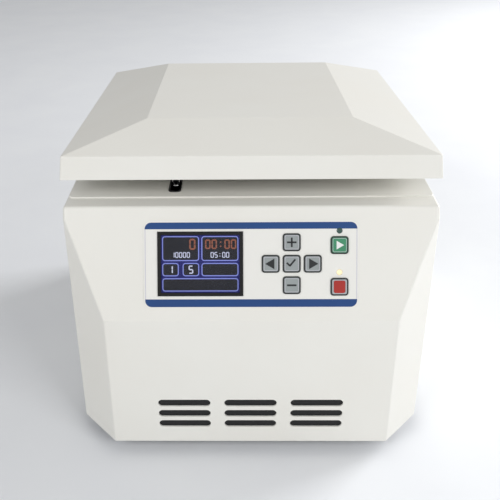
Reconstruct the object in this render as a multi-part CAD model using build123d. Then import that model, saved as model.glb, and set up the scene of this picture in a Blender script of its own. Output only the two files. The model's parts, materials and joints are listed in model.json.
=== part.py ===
from build123d import *

import os
from math import atan2, cos, hypot, radians, sin, sqrt

# A bench hematocrit centrifuge: a white sheet-steel cabinet with chamfered front corners and a
# tilted control panel, a flat top deck with a round rotor chamber, and a hip-roofed lid hinged at
# the rear. The lid is modelled as it stands in use after release, a few degrees open.
# All sizes are millimetres. X runs to the right of a user who faces the panel, Y runs from the
# panel to the rear and Z is up. The origin is on the bench, under the centre of the whole
# instrument.

# Cabinet sizes
CABINET_WIDTH = 320.0
CABINET_DEPTH = 388.0
SHEET = 1.5
FOOT_HEIGHT = 14.0
KNEE_HEIGHT = 133.0
SHOULDER_HEIGHT = 221.0
PANEL_SETBACK = 42.0
CHAMFER_WIDTH = 34.0
CHAMFER_DEPTH = 39.0
CABINET_EDGE_RADIUS = 3.0
LEDGE_DEPTH = 18.0
FLANGE = 12.0
DECK_LAP = 9.0
FIT = 0.3
BASE_SHEET = 3.0
DECK_SHEET = 1.2
DECK_MARGIN = 1.5
DECK_CORNER = 5.0
DECK_EDGE_RADIUS = 0.7

# Front vents
VENT_LENGTH = 47.5
VENT_WIDTH = 7.6
VENT_PITCH_X = 60.0
VENT_PITCH_Z = 11.8
VENT_COLUMNS = 3
VENT_ROWS = 3
VENT_LOW = 20.9

# Lid and hinge
LID_OVERHANG = 2.0
LID_SETBACK = 50.5
LID_DEPTH = CABINET_DEPTH - LID_SETBACK
LID_SHEET = 1.5
LID_GAP = 1.0
RIM_HEIGHT = 20.0
RIM_DRAFT = 2.0
ROOF_RISE = 20.0
ROOF_INSET_X = 71.5
ROOF_INSET_Y = 49.0
LID_EDGE_RADIUS = 1.6
LID_AJAR = 3.1
LINER_SHEET = 1.5
LINER_PLUG_DROP = 2.0
HINGE_PIN_RADIUS = 2.5
HINGE_BARREL_RADIUS = 4.5
HINGE_LEAF = 2.0
HINGE_LENGTH = 50.0
HINGE_INSET = 65.0
HINGE_SPACING = CABINET_WIDTH - 2 * HINGE_INSET
HINGE_LEAF_HEIGHT = 17.0
KNUCKLE_GAP = 0.4
PIVOT_DROP = 0.8

# Rotor chamber, motor and rotor
GUARD_BACK = 99.0
BOWL_RADIUS = 110.0
BOWL_SHEET = 1.2
BOWL_FLANGE = 7.0
BOWL_DEPTH = 84.0
BOWL_CORNER = 14.0
BOWL_HOLE = 24.0
GASKET_HEIGHT = 6.0
GASKET_REACH = 3.0
GASKET_LIP = 2.0
ARMOUR_GAP = 3.0
ARMOUR_WALL = 5.0
GUARD_RADIUS = BOWL_RADIUS + ARMOUR_GAP + ARMOUR_WALL
CHAMBER_BACK = GUARD_BACK + GUARD_RADIUS
GASKET_INNER = BOWL_RADIUS - GASKET_REACH
SHELF_HEIGHT = 117.0
SHELF_SHEET = 3.0
SHELF_SIDE = 17.0
SHELF_END = 10.0
SHELF_WIDTH = 2 * (GUARD_RADIUS + SHELF_SIDE)
SHELF_DEPTH = 2 * (GUARD_RADIUS + SHELF_END)
SHELF_HOLE = 47.0
COLUMN_RADIUS = 6.0
COLUMN_INSET = 10.0
DAMPER_RADIUS = 8.0
DAMPER_HEIGHT = 6.0
DAMPER_CIRCLE = 57.0
DAMPER_COUNT = 4
MOTOR_RADIUS = 44.0
MOTOR_LENGTH = 80.0
MOTOR_WALL = 3.0
MOTOR_FLANGE_RADIUS = 68.0
MOTOR_FLANGE_SHEET = 5.0
MOTOR_BOSS_RADIUS = 17.0
MOTOR_BOSS_HEIGHT = 12.0
BEARING_RADIUS = 11.0
BEARING_HEIGHT = 8.0
SHAFT_RADIUS = 5.0
SHAFT_THREAD_RADIUS = 4.0
RUNNING_GAP = 0.08
STATOR_BORE = 24.0
STATOR_LENGTH = 44.0
MAGNET_GAP = 0.8
ROTOR_CLEARANCE = 11.8
ROTOR_RADIUS = BOWL_RADIUS - BOWL_SHEET - ROTOR_CLEARANCE
ROTOR_LIFT = 22.0
ROTOR_FLOOR = 4.0
ROTOR_RIM = 6.0
ROTOR_RIM_HEIGHT = 12.0
ROTOR_LAND_HEIGHT = 4.0
ROTOR_HUB_RADIUS = 13.0
CUSHION_WALL = 3.0
TUBE_COUNT = 24
TUBE_GROOVE = 2.4
COVER_SHEET = 1.6
COVER_RING_INSET = 35.0
KNOB_RADIUS = 18.0
KNOB_HEIGHT = 17.0
KNOB_FLUTES = 16
WASHER_HEIGHT = 1.5

# Control panel: places are measured across from the middle and up from the knee
LABEL_WIDTH = 182.4
LABEL_HEIGHT = 74.4
LABEL_LOW = 10.8
LABEL_SHEET = 0.6
LABEL_CORNER = 6.7
DISPLAY_WIDTH = 72.8
DISPLAY_HEIGHT = 55.0
DISPLAY_ACROSS = -42.9
DISPLAY_UP = 48.8
DISPLAY_DEPTH = 7.0
KEY_SIZE = 14.8
KEY_CORNER = 2.4
KEY_GAP = 0.25
KEY_PROUD = 1.1
KEY_TRAVEL = 0.8
KEY_PITCH_X = 17.8
KEY_PITCH_UP = 18.2
PAD_ACROSS = 34.6
PAD_UP = 48.7
RUN_KEY_ACROSS = 75.0
START_KEY_UP = 64.4
STOP_KEY_UP = 29.1
LED_RADIUS = 2.5
LED_ABOVE_KEY = 12.25
BOARD_SHEET = 1.6
KEY_STEM = 4.5

# Latch
LATCH_ACROSS = -66.4
STRIKER_BACK = 90.0
STRIKER_DROP = 26.0
STRIKER_WIRE = 1.1
STRIKER_HALF_WIDTH = 2.3
SLOT_WIDTH = 9.4
SLOT_FRONT = 70.4
SLOT_LENGTH = 28.5
BEZEL_BORDER = 0.8
CATCH_THICKNESS = 3.0
CATCH_ARM_WIDTH = 10.0
CATCH_PIVOT_BACK = 3.0
CATCH_PIVOT_DROP = 42.5
CATCH_RELEASE = 22.0

# Rear panel fittings: places are measured across from the middle and up from the base
FAN_SIZE = 80.0
FAN_DEPTH = 25.0
FAN_INSET = 88.0
FAN_ACROSS = CABINET_WIDTH / 2 - FAN_INSET
FAN_DROP = 12.0
FAN_UP = SHELF_HEIGHT - FAN_SIZE / 2 - FAN_DROP
FAN_BORE = 37.5
FAN_HUB = 16.0
FAN_BLADES = 7
FAN_SCREW_PITCH = 71.5
GUARD_WIRE = 1.0
INLET_INSET = 68.0
INLET_ACROSS = INLET_INSET - CABINET_WIDTH / 2
INLET_UP = 50.0
SWITCH_ACROSS = INLET_ACROSS
SWITCH_UP = 100.0
ROCKER_TILT = 8.0

HALF_WIDTH = CABINET_WIDTH / 2
HINGE_REACH = HINGE_BARREL_RADIUS + 0.2
OVERALL_DEPTH = CABINET_DEPTH + HINGE_REACH + HINGE_BARREL_RADIUS
FRONT_Y = -OVERALL_DEPTH / 2
REAR_Y = FRONT_Y + CABINET_DEPTH
BASE_Z = FOOT_HEIGHT
FLOOR_Z = BASE_Z + BASE_SHEET
KNEE_Z = BASE_Z + KNEE_HEIGHT
SHOULDER_Z = BASE_Z + SHOULDER_HEIGHT
DECK_Z = SHOULDER_Z + DECK_SHEET
CHAMBER_Y = FRONT_Y + CHAMBER_BACK
PIVOT_Y = REAR_Y + HINGE_REACH
RIM_Z = DECK_Z + LID_GAP
PIVOT_Z = RIM_Z - PIVOT_DROP
PANEL_TILT = atan2(PANEL_SETBACK, SHOULDER_HEIGHT - KNEE_HEIGHT)
PANEL = Plane(
    origin=(0, FRONT_Y, KNEE_Z),
    x_dir=(1, 0, 0),
    z_dir=(0, -cos(PANEL_TILT), sin(PANEL_TILT)),
)
SHELF_Z = BASE_Z + SHELF_HEIGHT
SHELF_TOP = SHELF_Z + SHELF_SHEET
MOTOR_TOP = SHELF_TOP + DAMPER_HEIGHT
MOTOR_LOW = MOTOR_TOP - MOTOR_LENGTH
BOSS_LOW = MOTOR_TOP + MOTOR_FLANGE_SHEET
BOSS_TOP = BOSS_LOW + MOTOR_BOSS_HEIGHT
BOWL_LOW = DECK_Z - BOWL_DEPTH
ROTOR_Z = BOSS_TOP + ROTOR_LIFT
LAND_Z = ROTOR_Z + ROTOR_FLOOR + ROTOR_LAND_HEIGHT
COVER_Z = ROTOR_Z + ROTOR_RIM_HEIGHT
WASHER_Z = COVER_Z + COVER_SHEET
KNOB_Z = WASHER_Z + WASHER_HEIGHT
SLOT_MIDDLE_Y = FRONT_Y + SLOT_FRONT + SLOT_LENGTH / 2
STRIKER_Y = FRONT_Y + STRIKER_BACK
CATCH_Y = STRIKER_Y + CATCH_PIVOT_BACK
CATCH_Z = DECK_Z - CATCH_PIVOT_DROP
GASKET_TOP = DECK_Z + GASKET_HEIGHT
LINER_Z = GASKET_TOP + FIT


def block(x_low, x_high, y_low, y_high, z_low, z_high):
    """A box between two corners."""
    size = (x_high - x_low, y_high - y_low, z_high - z_low)
    middle = ((x_low + x_high) / 2, (y_low + y_high) / 2, (z_low + z_high) / 2)
    return Pos(*middle) * Box(*size)


def post(radius, z_low, z_high, x=0.0, y=0.0):
    """An upright cylinder."""
    return Pos(x, y, (z_low + z_high) / 2) * Cylinder(radius, z_high - z_low)


def rod_x(radius, x_low, x_high, y, z):
    """A cylinder that lies across the instrument."""
    return Pos((x_low + x_high) / 2, y, z) * Rot(0, 90, 0) * Cylinder(radius, x_high - x_low)


def rod_y(radius, y_low, y_high, x, z):
    """A cylinder that points from front to rear."""
    return Pos(x, (y_low + y_high) / 2, z) * Rot(90, 0, 0) * Cylinder(radius, y_high - y_low)


def turned(outline, x=0.0, y=CHAMBER_Y):
    """A solid turned about an upright axis from (radius, height) points."""
    face = make_face(Polyline(*[(radius, 0, z) for radius, z in outline], close=True))
    return Pos(x, y, 0) * revolve(face, Axis.Z)


def profile_x(outline, x_low, x_high):
    """A prism across the instrument from (y, z) points."""
    face = make_face(Polyline(*[(x_low, y, z) for y, z in outline], close=True))
    return extrude(face, amount=x_high - x_low, dir=(1, 0, 0))


def on_panel(across, up, width, height, inner, outer, corner=0.0):
    """A rounded plate square to the tilted panel, from depth inner to depth outer."""
    shape = RectangleRounded(width, height, corner) if corner else Rectangle(width, height)
    return extrude(PANEL.offset(inner).location * Pos(across, up, 0) * shape, amount=outer - inner)


def panel_pin(across, up, radius, inner, outer):
    """A round pin square to the tilted panel."""
    place = PANEL.offset(inner).location * Pos(across, up, 0)
    return extrude(place * Circle(radius), amount=outer - inner)


def ring_places(count, radius, turn=0.0):
    """Places on a circle about the chamber's axis."""
    return [
        (
            radius * cos(radians(turn + 360 * step / count)),
            CHAMBER_Y + radius * sin(radians(turn + 360 * step / count)),
        )
        for step in range(count)
    ]


def chamfer_meets(inset):
    """Where the inset corner chamfer meets the inset front and the inset side."""
    length = hypot(CHAMFER_WIDTH, CHAMFER_DEPTH)
    out_x, out_y = CHAMFER_DEPTH / length, -CHAMFER_WIDTH / length
    reach = out_x * (HALF_WIDTH - CHAMFER_WIDTH) + out_y * FRONT_Y - inset
    front_x = (reach - out_y * (FRONT_Y + inset)) / out_x
    side_y = (reach - out_x * (HALF_WIDTH - inset)) / out_y
    return front_x, side_y


def panel_meets(inset, top):
    """Where the inset tilted panel meets the inset front and a level top."""
    out_y, out_z = -cos(PANEL_TILT), sin(PANEL_TILT)
    reach = out_y * FRONT_Y + out_z * KNEE_Z - inset
    knee_z = (reach - out_y * (FRONT_Y + inset)) / out_z
    top_y = (reach - out_z * top) / out_y
    return knee_z, top_y


def cabinet_block(inset, low, top, rear):
    """The cabinet's outer shape, drawn in by inset on the front, chamfers, sides and panel."""
    front_x, side_y = chamfer_meets(inset)
    knee_z, top_y = panel_meets(inset, top)
    side_x, front = HALF_WIDTH - inset, FRONT_Y + inset
    plan = [(-side_x, rear), (-side_x, side_y), (-front_x, front)]
    plan += [(-x, y) for x, y in reversed(plan)]
    footprint = make_face(Polyline(*[(x, y, low) for x, y in plan], close=True))
    upright = extrude(footprint, amount=top - low, dir=(0, 0, 1))
    side = [(front, low), (front, knee_z), (top_y, top), (rear, top), (rear, low)]
    return upright & profile_x(side, -side_x, side_x)


def key_places():
    """Each key's name and its place across and up the panel."""
    return {
        "key_plus": (PAD_ACROSS, PAD_UP + KEY_PITCH_UP),
        "key_minus": (PAD_ACROSS, PAD_UP - KEY_PITCH_UP),
        "key_left": (PAD_ACROSS - KEY_PITCH_X, PAD_UP),
        "key_right": (PAD_ACROSS + KEY_PITCH_X, PAD_UP),
        "key_enter": (PAD_ACROSS, PAD_UP),
        "key_start": (RUN_KEY_ACROSS, START_KEY_UP),
        "key_stop": (RUN_KEY_ACROSS, STOP_KEY_UP),
    }


def led_places():
    """Each lamp's name and its place above its key."""
    return {
        "lamp_start": (RUN_KEY_ACROSS, START_KEY_UP + LED_ABOVE_KEY),
        "lamp_stop": (RUN_KEY_ACROSS, STOP_KEY_UP + LED_ABOVE_KEY),
    }


def panel_openings(inner, outer):
    """Cutters for the display, the keys and the lamps, in the cowl or the label."""
    hole = KEY_SIZE + 2 * KEY_GAP
    cuts = [
        on_panel(
            DISPLAY_ACROSS,
            DISPLAY_UP,
            DISPLAY_WIDTH - 2 * DISPLAY_LIP + 2 * FIT,
            DISPLAY_HEIGHT - 2 * DISPLAY_LIP + 2 * FIT,
            inner,
            outer,
        )
    ]
    for across, up in key_places().values():
        cuts.append(on_panel(across, up, hole, hole, inner, outer, KEY_CORNER + KEY_GAP))
    for across, up in led_places().values():
        cuts.append(panel_pin(across, up, LED_RADIUS + RUNNING_GAP, inner, outer))
    return cuts


def vent_cutters():
    """The rows of rounded slots in the lower front."""
    cuts = []
    for column in range(VENT_COLUMNS):
        for row in range(VENT_ROWS):
            x = (column - (VENT_COLUMNS - 1) / 2) * VENT_PITCH_X
            z = BASE_Z + VENT_LOW + row * VENT_PITCH_Z
            place = Plane(origin=(x, FRONT_Y - 1, z), x_dir=(1, 0, 0), z_dir=(0, 1, 0))
            slot = place.location * SlotOverall(VENT_LENGTH, VENT_WIDTH)
            cuts.append(extrude(slot, amount=SHEET + 2))
    return cuts


def make_cowl():
    """Front, chamfers, sides and top flange of the cabinet, folded from one sheet."""
    outside = cabinet_block(0, BASE_Z, SHOULDER_Z, REAR_Y)
    folds = [
        edge
        for edge in outside.edges()
        if edge.center().Y < REAR_Y - 1 and edge.center().Z > BASE_Z + 1
    ]
    outside = fillet(folds, CABINET_EDGE_RADIUS)
    inside = cabinet_block(SHEET, BASE_Z - 1, SHOULDER_Z - SHEET, REAR_Y + 1)
    flange_front = FRONT_Y + PANEL_SETBACK + LEDGE_DEPTH + DECK_LAP
    mouth = block(
        -HALF_WIDTH + FLANGE,
        HALF_WIDTH - FLANGE,
        flange_front,
        REAR_Y - FLANGE,
        SHOULDER_Z - 2 * SHEET,
        SHOULDER_Z + 1,
    )
    cowl = outside - inside - mouth
    for side in (-1, 1):
        edge = side * (HALF_WIDTH - SHEET / 2)
        near = side * (HALF_WIDTH - FLANGE)
        cowl += block(
            min(edge, near),
            max(edge, near),
            REAR_Y - 2 * SHEET,
            REAR_Y - SHEET,
            FLOOR_Z + FIT,
            SHOULDER_Z - SHEET / 2,
        )
    for cut in panel_openings(-2 * SHEET, SHEET) + vent_cutters():
        cowl -= cut
    return cowl


def foot_places():
    """The four places where feet stand."""
    x = HALF_WIDTH - CHAMFER_WIDTH - 8
    front, rear = FRONT_Y + CHAMFER_DEPTH + 20, REAR_Y - 45
    return [(side * x, y) for y in (front, rear) for side in (-1, 1)]


FOOT_RADIUS = 14.0
FOOT_TOE_RADIUS = 12.0
FOOT_RECESS_RADIUS = 6.0
FOOT_WEB = 5.0
SCREW_RADIUS = 2.0
SCREW_HEAD_RADIUS = 3.8
SCREW_HEAD_HEIGHT = 2.4
SCREW_GRIP = 7.0


def column_places():
    """The four places of the shelf's columns."""
    x, y = SHELF_WIDTH / 2 - COLUMN_INSET, SHELF_DEPTH / 2 - COLUMN_INSET
    return [(sx * x, CHAMBER_Y + sy * y) for sx in (-1, 1) for sy in (-1, 1)]


def make_base():
    """The floor plate, with foot holes and a field of air slots under the motor."""
    front_x, side_y = chamfer_meets(SHEET + FIT)
    side_x, front = HALF_WIDTH - SHEET - FIT, FRONT_Y + SHEET + FIT
    plan = [(-side_x, REAR_Y), (-side_x, side_y), (-front_x, front)]
    plan += [(-x, y) for x, y in reversed(plan)]
    face = make_face(Polyline(*[(x, y, BASE_Z) for x, y in plan], close=True))
    plate = extrude(face, amount=BASE_SHEET, dir=(0, 0, 1))
    for x, y in foot_places():
        plate -= post(SCREW_RADIUS + RUNNING_GAP, BASE_Z - 1, FLOOR_Z + 1, x, y)
    for row in range(-3, 4):
        slot = Pos(0, CHAMBER_Y + row * 11, BASE_Z - 1) * SlotOverall(62, 5)
        plate -= extrude(slot, amount=BASE_SHEET + 2)
    return plate


def make_foot(x, y):
    """A tapered rubber foot with a recess for its screw."""
    foot = turned(
        [
            (SCREW_RADIUS + RUNNING_GAP, FOOT_HEIGHT),
            (FOOT_RADIUS, FOOT_HEIGHT),
            (FOOT_RADIUS, FOOT_HEIGHT - 3),
            (FOOT_TOE_RADIUS, 0),
            (FOOT_RECESS_RADIUS, 0),
            (FOOT_RECESS_RADIUS, FOOT_HEIGHT - FOOT_WEB),
            (SCREW_RADIUS + RUNNING_GAP, FOOT_HEIGHT - FOOT_WEB),
        ],
        x,
        y,
    )
    return foot


def screw_up(x, y, seat, length):
    """A pan-head screw whose head hangs below its seat and whose shank points up."""
    head = Pos(x, y, seat - SCREW_HEAD_HEIGHT / 2) * Cylinder(SCREW_HEAD_RADIUS, SCREW_HEAD_HEIGHT)
    head = fillet(head.edges().sort_by(Axis.Z)[0], SCREW_HEAD_HEIGHT * 0.4)
    return head + post(SCREW_RADIUS, seat, seat + length, x, y)


def make_foot_screws():
    """The screws that hold the feet to the floor plate."""
    length = FOOT_WEB + BASE_SHEET + 2
    return [screw_up(x, y, FOOT_HEIGHT - FOOT_WEB, length) for x, y in foot_places()]


def make_deck():
    """The flat plate round the chamber, laid on the cowl's flange."""
    front = FRONT_Y + PANEL_SETBACK + LEDGE_DEPTH
    half = HALF_WIDTH - DECK_MARGIN
    deck = block(-half, half, front, REAR_Y - DECK_MARGIN, SHOULDER_Z, DECK_Z)
    corners = [e for e in deck.edges().filter_by(Axis.Z) if e.center().Y < front + 1]
    deck = fillet(corners, DECK_CORNER)
    deck = fillet(deck.edges().group_by(Axis.Z)[-1], DECK_EDGE_RADIUS)
    deck -= post(BOWL_RADIUS + RUNNING_GAP, SHOULDER_Z - 1, DECK_Z + 1, 0, CHAMBER_Y)
    return deck - latch_slot(BEZEL_BORDER / 2 + RUNNING_GAP, SHOULDER_Z - 1, DECK_Z + 1)


def latch_slot(border, low, high):
    """The latch slot as a block, widened by border all round."""
    shape = RectangleRounded(
        SLOT_WIDTH + 2 * border, SLOT_LENGTH + 2 * border, SLOT_WIDTH * 0.4
    )
    return extrude(Pos(LATCH_ACROSS, SLOT_MIDDLE_Y, low) * shape, amount=high - low)


def make_latch_bezel():
    """The black moulding that lines the latch slot."""
    flange = latch_slot(BEZEL_BORDER, DECK_Z, DECK_Z + 0.8)
    sleeve = latch_slot(BEZEL_BORDER / 2, SHOULDER_Z - 3, DECK_Z)
    return flange + sleeve - latch_slot(0, SHOULDER_Z - 4, DECK_Z + 2)


def make_rear_panel():
    """The rear sheet, with cut-outs for the fan, the inlet, the switch and the screws."""
    half = HALF_WIDTH - SHEET - FIT
    panel = block(-half, half, REAR_Y - SHEET, REAR_Y, FLOOR_Z, SHOULDER_Z - SHEET)
    low, high = REAR_Y - 2 * SHEET, REAR_Y + 1
    panel -= rod_y(FAN_BORE, low, high, FAN_ACROSS, BASE_Z + FAN_UP)
    panel -= rear_block(INLET_ACROSS, INLET_UP, INLET_BODY_WIDTH, INLET_BODY_HEIGHT, -3, 1)
    panel -= rear_block(SWITCH_ACROSS, SWITCH_UP, SWITCH_BODY_WIDTH, SWITCH_BODY_HEIGHT, -3, 1)
    for x, z in fan_screw_places() + hinge_screw_places(-1):
        panel -= rod_y(SCREW_RADIUS + RUNNING_GAP, low, high, x, z)
    return panel


INLET_BODY_WIDTH = 27.0
INLET_BODY_HEIGHT = 20.0
INLET_BODY_DEPTH = 22.0
INLET_WALL = 1.8
INLET_CAVITY_DEPTH = 17.0
INLET_BEZEL = 2.0
PIN_WIDTH = 2.0
PIN_HEIGHT = 4.0
PIN_REACH = 10.0
PIN_SPACING = 7.0
SWITCH_BODY_WIDTH = 19.0
SWITCH_BODY_HEIGHT = 27.0
SWITCH_BODY_DEPTH = 18.0
ROCKER_WIDTH = 14.0
ROCKER_HALF = 10.6
ROCKER_PROUD = 4.6
ROCKER_WAIST = 2.6
ROCKER_PIN_RADIUS = 1.5


def rear_block(across, up, width, height, inner, outer):
    """A block on the rear panel, from inner to outer behind its outside face."""
    z = BASE_Z + up
    return block(
        across - width / 2,
        across + width / 2,
        REAR_Y + inner,
        REAR_Y + outer,
        z - height / 2,
        z + height / 2,
    )


def fan_screw_places():
    """The four fan screws, as places across and above the bench."""
    half = FAN_SCREW_PITCH / 2
    z = BASE_Z + FAN_UP
    return [(FAN_ACROSS + sx * half, z + sz * half) for sx in (-1, 1) for sz in (-1, 1)]


def hinge_middles():
    """The middle of each hinge across the instrument."""
    return [-HINGE_SPACING / 2, HINGE_SPACING / 2]


def hinge_screw_places(side):
    """Screws in the cabinet leaves (side -1) or the lid leaves (side 1)."""
    z = PIVOT_Z + side * (HINGE_LEAF_HEIGHT - HINGE_SCREW_INSET)
    spread = HINGE_LENGTH / 2 - HINGE_SCREW_INSET
    return [(middle + sx * spread, z) for middle in hinge_middles() for sx in (-1, 1)]


HINGE_SCREW_INSET = 6.0
HINGE_KNUCKLES = 5
LEAF_SCREW_HEAD = 1.4
LEAF_SCREW_RADIUS = 3.4


def make_hinge_leaves(side):
    """Both hinges' cabinet leaves (side -1) or lid leaves (side 1), with their knuckles."""
    knuckle = HINGE_LENGTH / HINGE_KNUCKLES
    leaves = []
    for middle in hinge_middles():
        start = middle - HINGE_LENGTH / 2
        far = PIVOT_Z + side * HINGE_LEAF_HEIGHT
        leaf = block(
            start,
            start + HINGE_LENGTH,
            REAR_Y,
            REAR_Y + HINGE_LEAF,
            min(PIVOT_Z, far),
            max(PIVOT_Z, far),
        )
        for step in range(HINGE_KNUCKLES):
            low, high = start + step * knuckle, start + (step + 1) * knuckle
            own = (step % 2 == 0) == (side < 0)
            if own:
                inset = KNUCKLE_GAP / 2
                leaf += rod_x(HINGE_BARREL_RADIUS, low + inset, high - inset, PIVOT_Y, PIVOT_Z)
                for edge_low, edge_high in ((low - inset, low + inset), (high - inset, high + inset)):
                    leaf -= hinge_notch(edge_low, edge_high)
            else:
                leaf -= hinge_notch(low - KNUCKLE_GAP / 2, high + KNUCKLE_GAP / 2)
        leaf -= rod_x(bore_of(side), start - 1, start + HINGE_LENGTH + 1, PIVOT_Y, PIVOT_Z)
        leaves.append(leaf)
    leaf_pair = leaves[0] + leaves[1]
    for x, z in hinge_screw_places(side):
        leaf_pair -= rod_y(SCREW_RADIUS + RUNNING_GAP, REAR_Y - 1, REAR_Y + 2 * HINGE_LEAF, x, z)
    return leaf_pair


def bore_of(side):
    """The pin is a press fit in the cabinet leaves and runs free in the lid leaves."""
    return HINGE_PIN_RADIUS + (RUNNING_GAP if side > 0 else 0)


def hinge_notch(x_low, x_high):
    """The room that one leaf leaves for the other leaf's knuckle."""
    room = HINGE_BARREL_RADIUS + KNUCKLE_GAP
    return block(
        x_low, x_high, REAR_Y - 1, REAR_Y + 3 * HINGE_BARREL_RADIUS, PIVOT_Z - room, PIVOT_Z + room
    )


def make_pivot_pins():
    """The two hinge pins and the latch pin."""
    pins = []
    for middle in hinge_middles():
        half = HINGE_LENGTH / 2 - KNUCKLE_GAP / 2
        pins.append(rod_x(HINGE_PIN_RADIUS, middle - half, middle + half, PIVOT_Y, PIVOT_Z))
    reach = LATCH_INNER + LATCH_WALL + 1
    pins.append(rod_x(LATCH_PIN, LATCH_ACROSS - reach, LATCH_ACROSS + reach, CATCH_Y, CATCH_Z))
    return pins


def rear_screw(x, z, seat, length, head_height=SCREW_HEAD_HEIGHT):
    """A pan-head screw driven forward into the rear panel."""
    head = rod_y(LEAF_SCREW_RADIUS, seat, seat + head_height, x, z)
    head = fillet(head.edges().sort_by(Axis.Y)[-1], head_height * 0.4)
    return head + rod_y(SCREW_RADIUS, seat - length, seat, x, z)


def make_cabinet_screws():
    """The screws of the feet, the fan guard, the cabinet leaves and the motor flange."""
    screws = make_foot_screws()
    for x, z in fan_screw_places():
        screws.append(rear_screw(x, z, REAR_Y + GUARD_STAND, GUARD_STAND + SHEET + SCREW_GRIP))
    for x, z in hinge_screw_places(-1):
        screws.append(
            rear_screw(x, z, REAR_Y + HINGE_LEAF, HINGE_LEAF + SCREW_GRIP, LEAF_SCREW_HEAD)
        )
    for x, y in damper_places():
        head = post(DAMPER_SCREW_HEAD, BOSS_LOW, BOSS_LOW + 3, x, y)
        shank = post(DAMPER_SCREW, SHELF_Z - 3, BOSS_LOW, x, y)
        nut = extrude(Pos(x, y, SHELF_Z - 3) * RegularPolygon(DAMPER_SCREW_HEAD, 6), amount=3)
        screws.append(head + shank + nut)
    return screws


DAMPER_SCREW = 2.5
DAMPER_SCREW_HEAD = 5.0


def damper_places():
    """Where the rubber dampers stand between the shelf and the motor's flange."""
    return ring_places(DAMPER_COUNT, DAMPER_CIRCLE, 45)


def make_shelf():
    """The steel shelf that carries the motor and the guard ring."""
    x, y = SHELF_WIDTH / 2, SHELF_DEPTH / 2
    shelf = block(-x, x, CHAMBER_Y - y, CHAMBER_Y + y, SHELF_Z, SHELF_TOP)
    shelf -= post(SHELF_HOLE, SHELF_Z - 1, SHELF_TOP + 1, 0, CHAMBER_Y)
    for px, py in damper_places():
        shelf -= post(DAMPER_SCREW + RUNNING_GAP, SHELF_Z - 1, SHELF_TOP + 1, px, py)
    return shelf


def make_columns():
    """Four columns between the floor plate and the shelf."""
    return [post(COLUMN_RADIUS, FLOOR_Z, SHELF_Z, x, y) for x, y in column_places()]


def make_dampers():
    """Four rubber dampers under the motor's flange."""
    return [
        post(DAMPER_RADIUS, SHELF_TOP, MOTOR_TOP, x, y)
        - post(DAMPER_SCREW + RUNNING_GAP, SHELF_TOP - 1, MOTOR_TOP + 1, x, y)
        for x, y in damper_places()
    ]


def make_bowl():
    """The drawn steel bowl of the rotor chamber, hung from the deck by its flange."""
    outside = post(BOWL_RADIUS, BOWL_LOW, DECK_Z, 0, CHAMBER_Y)
    outside = fillet(outside.edges().sort_by(Axis.Z)[0], BOWL_CORNER)
    inside = post(BOWL_RADIUS - BOWL_SHEET, BOWL_LOW + BOWL_SHEET, DECK_Z + 5, 0, CHAMBER_Y)
    inside = fillet(inside.edges().sort_by(Axis.Z)[0], BOWL_CORNER - BOWL_SHEET)
    flange = post(BOWL_RADIUS + BOWL_FLANGE, DECK_Z, DECK_Z + BOWL_SHEET, 0, CHAMBER_Y)
    hole = post(BOWL_HOLE, BOWL_LOW - 1, BOWL_LOW + 3, 0, CHAMBER_Y)
    return outside + flange - inside - hole


def make_gasket():
    """The black seal that grips the bowl's flange."""
    outer = BOWL_RADIUS + BOWL_FLANGE
    inner = BOWL_RADIUS - BOWL_SHEET
    flange_top = DECK_Z + BOWL_SHEET
    seal = turned(
        [
            (inner, flange_top),
            (outer, flange_top),
            (outer, DECK_Z),
            (outer + GASKET_LIP, DECK_Z),
            (outer + GASKET_LIP, GASKET_TOP - 2),
            (outer - 2, GASKET_TOP),
            (GASKET_INNER, GASKET_TOP),
            (GASKET_INNER, flange_top - 3),
            (inner, flange_top - 3),
        ]
    )
    return seal


def make_bowl_seal():
    """The rubber collar between the bowl's hole and the motor's boss."""
    return turned(
        [
            (MOTOR_BOSS_RADIUS, BOWL_LOW - 2),
            (BOWL_HOLE + 3, BOWL_LOW - 2),
            (BOWL_HOLE + 3, BOWL_LOW),
            (BOWL_HOLE, BOWL_LOW),
            (BOWL_HOLE, BOWL_LOW + BOWL_SHEET),
            (MOTOR_BOSS_RADIUS, BOWL_LOW + BOWL_SHEET),
        ]
    )


def make_guard_ring():
    """The heavy steel ring that would hold a broken rotor in."""
    inner = BOWL_RADIUS + ARMOUR_GAP
    ring = post(inner + ARMOUR_WALL, SHELF_TOP, SHOULDER_Z, 0, CHAMBER_Y)
    return ring - post(inner, SHELF_TOP - 1, SHOULDER_Z + 1, 0, CHAMBER_Y)


MOTOR_END = 10.0
BEARING_EXIT = 8.0


def make_motor_can():
    """The motor's can, closed below round the lower bearing."""
    inner = MOTOR_RADIUS - MOTOR_WALL
    seat = MOTOR_LOW + MOTOR_END - BEARING_HEIGHT
    return turned(
        [
            (BEARING_EXIT, MOTOR_LOW),
            (MOTOR_RADIUS, MOTOR_LOW),
            (MOTOR_RADIUS, MOTOR_TOP),
            (inner, MOTOR_TOP),
            (inner, MOTOR_LOW + MOTOR_END),
            (BEARING_RADIUS, MOTOR_LOW + MOTOR_END),
            (BEARING_RADIUS, seat),
            (BEARING_EXIT, seat),
        ]
    )


def make_motor_flange():
    """The motor's top end bell, with the boss of the upper bearing."""
    seat = BOSS_TOP - BEARING_HEIGHT
    flange = turned(
        [
            (BEARING_EXIT, MOTOR_TOP),
            (MOTOR_FLANGE_RADIUS, MOTOR_TOP),
            (MOTOR_FLANGE_RADIUS, BOSS_LOW),
            (MOTOR_BOSS_RADIUS, BOSS_LOW),
            (MOTOR_BOSS_RADIUS, BOSS_TOP),
            (BEARING_RADIUS, BOSS_TOP),
            (BEARING_RADIUS, seat),
            (BEARING_EXIT, seat),
        ]
    )
    for x, y in damper_places():
        flange -= post(DAMPER_SCREW + RUNNING_GAP, MOTOR_TOP - 1, BOSS_LOW + 1, x, y)
    return flange


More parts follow.
